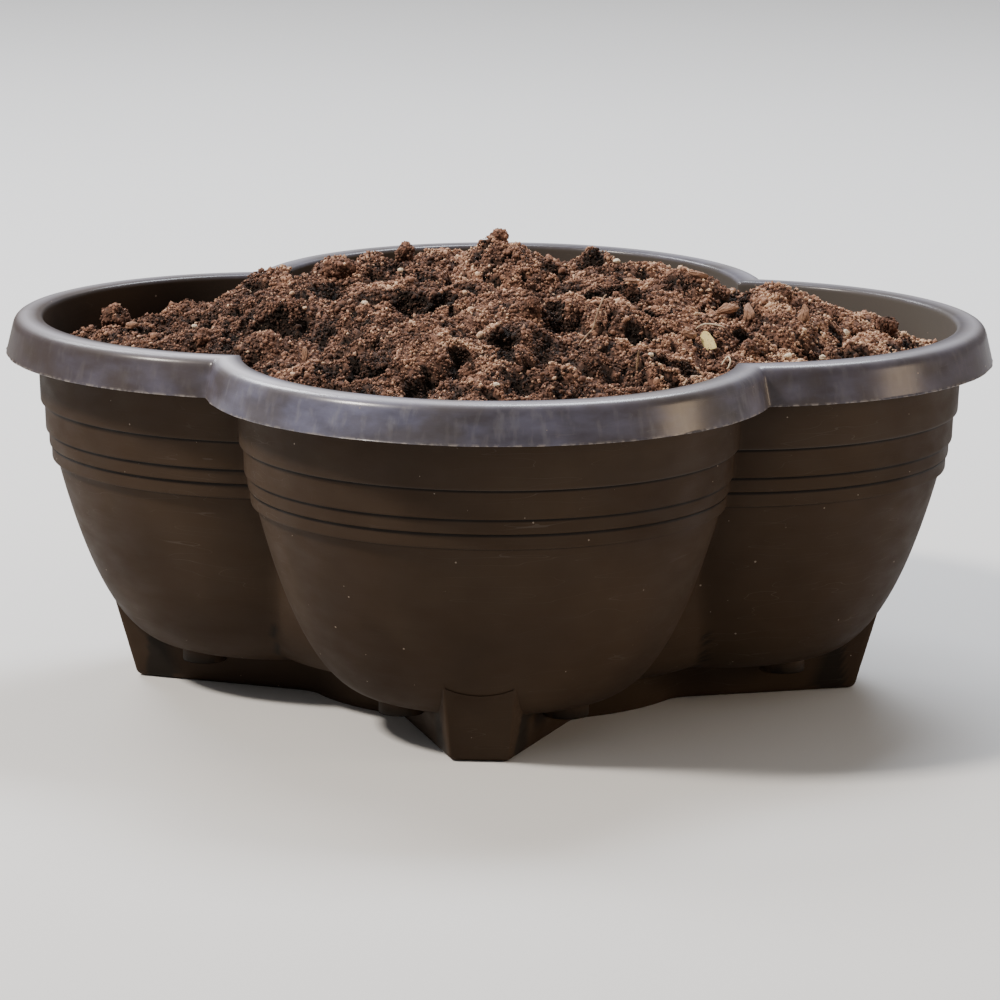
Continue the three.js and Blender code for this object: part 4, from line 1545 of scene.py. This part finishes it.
class Effects:
    """Effects that more than one material uses, as node groups."""

    def __init__(self) -> None:
        """Builds every shared effect once."""
        self.specks = self.make_specks()
        self.scratches = self.make_scratches()

    def start(self, name: str, inputs: Sequence[tuple[str, str, float]], output: str) -> bpy.types.NodeTree:
        """Starts a node group.

        Args:
            name: The group's name.
            inputs: Name, socket type and default of each input.
            output: Name of its one output.

        Returns:
            The group, with its input and output nodes named in and out.
        """
        tree = bpy.data.node_groups.new(name, "ShaderNodeTree")
        for label, kind, default in inputs:
            socket = tree.interface.new_socket(label, in_out="INPUT", socket_type=kind)
            if kind == "NodeSocketFloat":
                socket.default_value = default
        tree.interface.new_socket(output, in_out="OUTPUT", socket_type="NodeSocketFloat")
        tree.nodes.new("NodeGroupInput").name = "in"
        tree.nodes.new("NodeGroupOutput").name = "out"
        return tree

    def make_specks(self) -> bpy.types.NodeTree:
        """Small round specks, scattered thinly: 1 on a speck and 0 elsewhere."""
        tree = self.start(
            "scattered_specks",
            [("Vector", "NodeSocketVector", 0), ("Scale", "NodeSocketFloat", 200), ("Size", "NodeSocketFloat", 0.15)],
            "Mask",
        )
        nodes, links = tree.nodes, tree.links
        cells = nodes.new("ShaderNodeTexVoronoi")
        links.new(nodes["in"].outputs["Vector"], cells.inputs["Vector"])
        links.new(nodes["in"].outputs["Scale"], cells.inputs["Scale"])
        chosen = nodes.new("ShaderNodeSeparateColor")
        links.new(cells.outputs["Color"], chosen.inputs["Color"])
        size = nodes.new("ShaderNodeMath")
        size.operation = "MULTIPLY"
        links.new(nodes["in"].outputs["Size"], size.inputs[0])
        links.new(chosen.outputs["Red"], size.inputs[1])
        inside = nodes.new("ShaderNodeMath")
        inside.operation = "LESS_THAN"
        links.new(cells.outputs["Distance"], inside.inputs[0])
        links.new(size.outputs[0], inside.inputs[1])
        links.new(inside.outputs[0], nodes["out"].inputs["Mask"])
        return tree

    def make_scratches(self) -> bpy.types.NodeTree:
        """Fine long scratches: 1 on a scratch and 0 elsewhere, along the contour of a stretched noise."""
        tree = self.start(
            "fine_scratches",
            [("Vector", "NodeSocketVector", 0), ("Scale", "NodeSocketFloat", 30), ("Width", "NodeSocketFloat", 0.01)],
            "Mask",
        )
        nodes, links = tree.nodes, tree.links
        mapping = nodes.new("ShaderNodeMapping")
        mapping.inputs["Scale"].default_value = (1.0, 1.0, 9.0)
        mapping.inputs["Rotation"].default_value = (0.5, 0.35, 0.2)
        links.new(nodes["in"].outputs["Vector"], mapping.inputs["Vector"])
        lines = nodes.new("ShaderNodeTexNoise")
        lines.inputs["Detail"].default_value = 1.0
        links.new(mapping.outputs["Vector"], lines.inputs["Vector"])
        links.new(nodes["in"].outputs["Scale"], lines.inputs["Scale"])
        away = nodes.new("ShaderNodeMath")
        away.operation = "COMPARE"
        away.inputs[1].default_value = 0.5
        links.new(lines.outputs["Fac"], away.inputs[0])
        links.new(nodes["in"].outputs["Width"], away.inputs[2])
        links.new(away.outputs[0], nodes["out"].inputs["Mask"])
        return tree


@dataclass(frozen=True)
class PlasticFinish:
    """Dark brown-black moulded plastic with a chalky, scuffed rim, and painted light: a painted sky reflection and
    painted light and shade on the rim, a painted highlight on its crest, painted shade under the steps and on the
    base, and painted light on the inner faces.
    """

    body: tuple[float, float, float] = (0.0275, 0.016, 0.0092)
    body_pale: tuple[float, float, float] = (0.042, 0.026, 0.0152)
    # Near black, for the painted shade on the base skirt.
    shaded: tuple[float, float, float] = (0.009, 0.0075, 0.006)
    # Rim grey: chalky, with its blue tint a painted reflection of the sky.
    rim: tuple[float, float, float] = (0.135, 0.136, 0.2)
    rim_dark: tuple[float, float, float] = (0.058, 0.056, 0.08)
    soiled: tuple[float, float, float] = (0.058, 0.048, 0.042)
    rubbed: tuple[float, float, float] = (0.21, 0.205, 0.225)
    # Colour of the painted highlight along the crest.
    painted_highlight: tuple[float, float, float] = (0.74, 0.73, 0.82)
    # Dusty grey of the inner faces, which also carries painted light.
    inside: tuple[float, float, float] = (0.095, 0.088, 0.082)
    worn: tuple[float, float, float] = (0.25, 0.22, 0.2)
    dust: tuple[float, float, float] = (0.3, 0.24, 0.19)
    # Near black, for the painted shade under the steps.
    step_shade: tuple[float, float, float] = (0.005, 0.003, 0.002)

    def material(self, effects: Effects) -> bpy.types.Material:
        """Makes the material.

        Args:
            effects: Shared effects.

        Returns:
            The material.
        """
        shader = Shader("moulded_plastic")
        place = shader.place()
        broad = shader.noise(place, 14, 4)
        colour = shader.mix(shader.range(broad, 0.4, 0.68, 0, 1), self.body, self.body_pale)
        # Inner faces: dusty grey with painted light, strongest on the right.
        colour = shader.mix(shader.value("inside"), colour, self.inside)
        # Painted shade on the base skirt and its feet.
        colour = shader.mix(shader.math("MULTIPLY", shader.value("skirt"), 0.8), colour, self.shaded)
        scuffed = shader.noise(place, 60, 6, (1.0, 1.0, 2.5))
        brushed = shader.noise(place, 130, 5, (2.4, 2.4, 0.7))
        rim = shader.mix(shader.range(scuffed, 0.3, 0.7, 0, 1), self.rim_dark, self.rim)
        rim = shader.mix(shader.range(brushed, 0.5, 0.7, 0, 0.4), rim, self.rubbed)
        stained = shader.noise(place, 34, 6, (1.0, 1.0, 1.6))
        rim = shader.mix(shader.range(stained, 0.44, 0.6, 0, 0.6), rim, self.soiled)
        weathered_and_painted_light = shader.value("weathered_and_painted_light")
        # Rim colour: chalky grey with painted light at the front left and painted shade at the ends.
        colour = shader.mix(weathered_and_painted_light, colour, rim)
        # Painted highlight along the crest.
        colour = shader.mix(shader.math("MULTIPLY", shader.value("crest"), 0.72), colour, self.painted_highlight)
        # Painted shade under each step of the wall.
        colour = shader.mix(shader.math("MULTIPLY", shader.value("groove"), 0.95), colour, self.step_shade)
        patchy = shader.noise(place, 420, 3)
        edge = shader.math("MULTIPLY", shader.value("edge"), shader.range(patchy, 0.46, 0.6, 0.05, 1))
        colour = shader.mix(edge, colour, self.worn)
        scratch = shader.group(effects.scratches, vector=place, scale=24.0, width=0.0022).outputs[0]
        thin = shader.math("MULTIPLY", scratch, shader.range(broad, 0.5, 0.65, 0, 0.1))
        colour = shader.mix(thin, colour, self.worn)
        specks = shader.group(effects.specks, vector=place, scale=150.0, size=0.06).outputs[0]
        colour = shader.mix(shader.math("MULTIPLY", specks, 0.75), colour, self.dust)
        shader.link(colour, shader.surface.inputs["Base Color"])
        gloss = shader.range(scuffed, 0.3, 0.7, 0.6, 0.76)
        gloss = shader.math("SUBTRACT", gloss, shader.math("MULTIPLY", weathered_and_painted_light, 0.32))
        shader.link(gloss, shader.surface.inputs["Roughness"])
        shader.set("Specular IOR Level", 0.13)
        shader.link(shader.math("MULTIPLY", weathered_and_painted_light, 0.8), shader.surface.inputs["Coat Weight"])
        shader.set("Coat Roughness", 0.24)
        shader.bump(shader.noise(place, 900, 3), 0.05, 0.5)
        shader.bump(scuffed, 0.1, 0.5)
        shader.bump(scratch, -0.03, 0.6)
        shader.bump(specks, 0.15, 0.6)
        return shader.material


@dataclass(frozen=True)
class CompostFinish:
    """Moist crumbly compost: every crumb has its own tone, from near black to tan, and the tone carries painted shade
    in the hollows and painted light towards +X.
    """

    name: str
    shade: float = 1.0

    def material(self, effects: Effects) -> bpy.types.Material:
        """Makes the material.

        Args:
            effects: Shared effects.

        Returns:
            The material.
        """
        shader = Shader(self.name)
        place = shader.place()
        fine = shader.noise(place, 900, 3)
        moist = shader.noise(place, 28, 3)
        tone = shader.math("ADD", shader.value("tone"), shader.range(fine, 0.3, 0.7, -0.14, 0.14))
        tone = shader.math("ADD", tone, shader.range(moist, 0.3, 0.7, -0.1, 0.1))
        stops = [
            (0.0, (0.011, 0.006, 0.004)),
            (0.3, (0.066, 0.034, 0.0235)),
            (0.55, (0.175, 0.088, 0.06)),
            (0.8, (0.4, 0.225, 0.15)),
            (1.0, (0.68, 0.48, 0.33)),
        ]
        shaded = [(position, tuple(self.shade * part for part in colour)) for position, colour in stops]
        colour = shader.ramp(tone, shaded)
        specks = shader.group(effects.specks, vector=place, scale=420.0, size=0.14).outputs[0]
        colour = shader.mix(shader.math("MULTIPLY", specks, 0.5), colour, (0.42, 0.3, 0.2))
        shader.link(colour, shader.surface.inputs["Base Color"])
        shader.link(shader.range(moist, 0.3, 0.7, 0.98, 0.82), shader.surface.inputs["Roughness"])
        shader.set("Specular IOR Level", 0.25)
        shader.bump(shader.noise(place, 1500, 3), 0.35, 0.8)
        return shader.material


@dataclass(frozen=True)
class GrainedFinish:
    """Dry plant matter with a grain along the piece: bark, husk, fibre or leaf."""

    name: str
    dark: tuple[float, float, float]
    mid: tuple[float, float, float]
    pale: tuple[float, float, float]
    roughness: float = 0.8
    ridges: float = 0.12

    def material(self, effects: Effects) -> bpy.types.Material:
        """Makes the material.

        Args:
            effects: Shared effects.

        Returns:
            The material.
        """
        shader = Shader(self.name)
        place = shader.place()
        grain = shader.noise(shader.vector("local"), 3, 4, (1.0, 6.0, 6.0))
        colour = shader.ramp(grain, [(0.3, self.dark), (0.5, self.mid), (0.72, self.pale)])
        mottle = shader.noise(place, 700, 2)
        colour = shader.mix(shader.range(mottle, 0.35, 0.7, 0, 0.45), colour, self.dark)
        dust = shader.group(effects.specks, vector=place, scale=900.0, size=0.3).outputs[0]
        colour = shader.mix(shader.math("MULTIPLY", dust, 0.5), colour, (0.09, 0.05, 0.035))
        shader.link(colour, shader.surface.inputs["Base Color"])
        shader.set("Roughness", self.roughness)
        shader.set("Specular IOR Level", 0.3)
        shader.bump(grain, self.ridges, 0.9)
        return shader.material


@dataclass(frozen=True)
class PerliteFinish:
    """Chalky foamed grain, off-white and dusty in its pits."""

    chalk: tuple[float, float, float] = (0.86, 0.77, 0.6)
    dusty: tuple[float, float, float] = (0.54, 0.41, 0.29)

    def material(self) -> bpy.types.Material:
        """Makes the material."""
        shader = Shader("perlite_chalk")
        place = shader.place()
        pits = shader.noise(place, 1600, 4)
        colour = shader.mix(shader.range(pits, 0.4, 0.6, 0, 1), self.dusty, self.chalk)
        shader.link(colour, shader.surface.inputs["Base Color"])
        shader.set("Roughness", 0.9)
        shader.bump(pits, 0.3, 0.9)
        return shader.material


BARK = GrainedFinish("bark_grain", (0.12, 0.056, 0.035), (0.33, 0.18, 0.115), (0.58, 0.38, 0.26))
PALE_FIBRE = GrainedFinish("pale_fibre", (0.36, 0.27, 0.18), (0.66, 0.54, 0.4), (0.85, 0.76, 0.62))
DRY_FIBRE = GrainedFinish("dry_fibre", (0.15, 0.09, 0.05), (0.28, 0.18, 0.11), (0.52, 0.37, 0.25))
DRY_LEAF = GrainedFinish("dry_leaf", (0.8, 0.62, 0.24), (0.95, 0.8, 0.38), (0.97, 0.88, 0.5), 0.6)


# Studio


@dataclass(frozen=True)
class SoftBox:
    """A square soft light: where it stands, what it looks at, its side in metres, power and colour."""

    name: str
    place: tuple[float, float, float]
    side: float
    power: float
    colour: tuple[float, float, float]
    aim: tuple[float, float, float] = (0.0, 0.0, 0.09)

    def build(self) -> None:
        """Hangs the light."""
        light = bpy.data.lights.new(self.name, "AREA")
        light.shape = "SQUARE"
        light.size = self.side
        light.energy = self.power
        light.color = self.colour
        lamp = bpy.data.objects.new(self.name, light)
        bpy.context.scene.collection.objects.link(lamp)
        place = Vector(self.place)
        facing = (Vector(self.aim) - place).to_track_quat("-Z", "Y")
        lamp.matrix_world = Matrix.Translation(place) @ facing.to_matrix().to_4x4()


@dataclass(frozen=True)
class Camera:
    """The photograph's view."""

    distance: float = 2.28
    elevation: float = 11.5
    turn: float = 2.34
    roll: float = 0.49
    target: tuple[float, float, float] = (0.0009, 0.0, 0.0699)
    lens: float = 211.75
    sensor: float = 36.0

    def build(self) -> None:
        """Sets up the camera."""
        data = bpy.data.cameras.new("camera")
        data.lens = self.lens
        data.sensor_width = self.sensor
        data.clip_end = 60
        camera = bpy.data.objects.new("camera", data)
        bpy.context.scene.collection.objects.link(camera)
        rise = math.radians(self.elevation)
        back = Vector((0, -math.cos(rise), math.sin(rise))) * self.distance
        turn = Matrix.Rotation(math.radians(self.turn), 3, "Z")
        target = Vector(self.target)
        place = turn @ (target + back)
        facing = (turn @ target - place).to_track_quat("-Z", "Y")
        roll = Matrix.Rotation(math.radians(self.roll), 4, "Z")
        camera.matrix_world = Matrix.Translation(place) @ facing.to_matrix().to_4x4() @ roll
        bpy.context.scene.camera = camera


@dataclass(frozen=True)
class Studio:
    """Pale floor, soft light all round, and soft boxes."""

    floor_side: float = 24.0
    floor_colour: tuple[float, float, float] = (0.74, 0.74, 0.74)
    air: tuple[float, float, float] = (1.0, 0.98, 0.96)
    air_strength: float = 0.33
    boxes: tuple[SoftBox, ...] = (
        SoftBox("key", (-1.6, -0.68, 1.95), 0.32, 78.0, (1.0, 0.91, 0.8)),
        SoftBox("top", (0.35, 1.3, 1.9), 0.8, 50.0, (0.88, 0.93, 1.0)),
        SoftBox("rear", (-1.1, 1.5, 1.7), 0.8, 34.0, (0.94, 0.96, 1.0)),
        SoftBox("low", (1.7, -0.25, 0.4), 0.5, 8.5, (1.0, 0.74, 0.48)),
    )

    def build(self) -> None:
        """Sets up the floor, the air and the lights."""
        half = self.floor_side / 2 / MM
        corners = np.array([[-half, -half, 0], [half, -half, 0], [half, half, 0], [-half, half, 0]])
        floor = Surface(corners, np.array([[0, 1, 2, 3]])).to_object("floor")
        shader = Shader("pale_floor")
        shade = shader.noise(shader.place(), 3, 2)
        darker = tuple(0.97 * part for part in self.floor_colour)
        shader.link(shader.mix(shade, darker, self.floor_colour), shader.surface.inputs["Base Color"])
        shader.set("Roughness", 0.9)
        floor.data.materials.append(shader.material)
        world = bpy.data.worlds.new("soft_air")
        world.use_nodes = True
        background = world.node_tree.nodes["Background"]
        background.inputs["Color"].default_value = (*self.air, 1.0)
        background.inputs["Strength"].default_value = self.air_strength
        bpy.context.scene.world = world
        for box in self.boxes:
            box.build()


# Assembly


def dress(
    piece: bpy.types.Object,
    material: bpy.types.Material,
    body: str,
    node: str | None = None,
) -> None:
    """Gives a piece its material and its body, and hides the CAD node that it stands for.

    Args:
        piece: The piece.
        material: Its material.
        body: The body that it rides on.
        node: The CAD node that it replaces, if any.
    """
    piece.data.materials.clear()
    piece.data.materials.append(material)
    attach(piece, body)
    if node is not None:
        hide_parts(node)
    log.info("%s: %d faces", piece.name, len(piece.data.polygons))


def small_pieces(solids: dict[str, np.ndarray]) -> list[tuple[float, float, float]]:
    """Middle and radius in plan of each chip, grain and leaf that lies on the compost."""
    made = []
    for name, points in sorted(solids.items()):
        if name.split("_")[0] in ("bark", "seed", "perlite", "leaf"):
            low, high = points[:, :2].min(axis=0), points[:, :2].max(axis=0)
            made.append((*(low + high) / 2, float((high - low).mean() / 2)))
    return made


def main() -> None:
    """Builds every piece."""
    logging.basicConfig(level=logging.INFO, format="%(message)s")
    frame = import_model()
    solids = {name: vertices_of(item.data) for name, item in frame["nodes"].items()}
    effects = Effects()

    planter = Planter()
    dress(planter.build(), PlasticFinish().material(effects), PLANTER_BODY, "planter_body")

    compost = Compost(planter, small_pieces(solids))
    soil = CompostFinish("compost").material(effects)
    dress(compost.bed().to_object("compost_bed"), soil, COMPOST_BODY, "compost_fill")
    for k, surface in enumerate(compost.crumbs()):
        dress(surface.to_object(f"crumbs_sector_{k + 1}"), soil, COMPOST_BODY)

    pressed = CompostFinish("pressed_compost", 1.15).material(effects)
    bark, pale, straw, blade = (finish.material(effects) for finish in (BARK, PALE_FIBRE, DRY_FIBRE, DRY_LEAF))
    chalk = PerliteFinish().material()
    makers = {
        "clod": (clod_surface, pressed, Slot.CLOD),
        "bark": (chip_surface, bark, Slot.BARK),
        "seed": (chip_surface, bark, Slot.BARK),
        "perlite": (grain_surface, chalk, Slot.PERLITE),
        "leaf": (leaf_surface, blade, Slot.LEAF),
    }
    for k, (name, points) in enumerate(sorted(solids.items())):
        kind = name.split("_")[0]
        if kind in makers:
            maker, material, slot = makers[kind]
            dress(maker(points, float(k)).to_object(f"{name}_fine"), material, COMPOST_BODY, name)

    for fibre in FIBRES:
        surface = fibre_surface(fibre.points(compost, 40), fibre.radius)
        surface.values["local"] = surface.vertices / fibre.length
        finish = straw if fibre.node == "fibre_arched" else pale
        dress(surface.to_object(f"{fibre.node}_fine"), finish, COMPOST_BODY, fibre.node)
    stalk = Seat.of(solids["stalk"])
    share = np.linspace(-1, 1, 24)[:, None]
    route = stalk.middle + stalk.axes[0] * np.sign(stalk.axes[0, 2]) * share * stalk.half[0]
    surface = fibre_surface(route, 0.42)
    surface.values["local"] = surface.vertices / 8
    dress(surface.to_object("stalk_fine"), straw, COMPOST_BODY, "stalk")

    Studio().build()
    Camera().build()


if __name__ == "__main__":
    main()
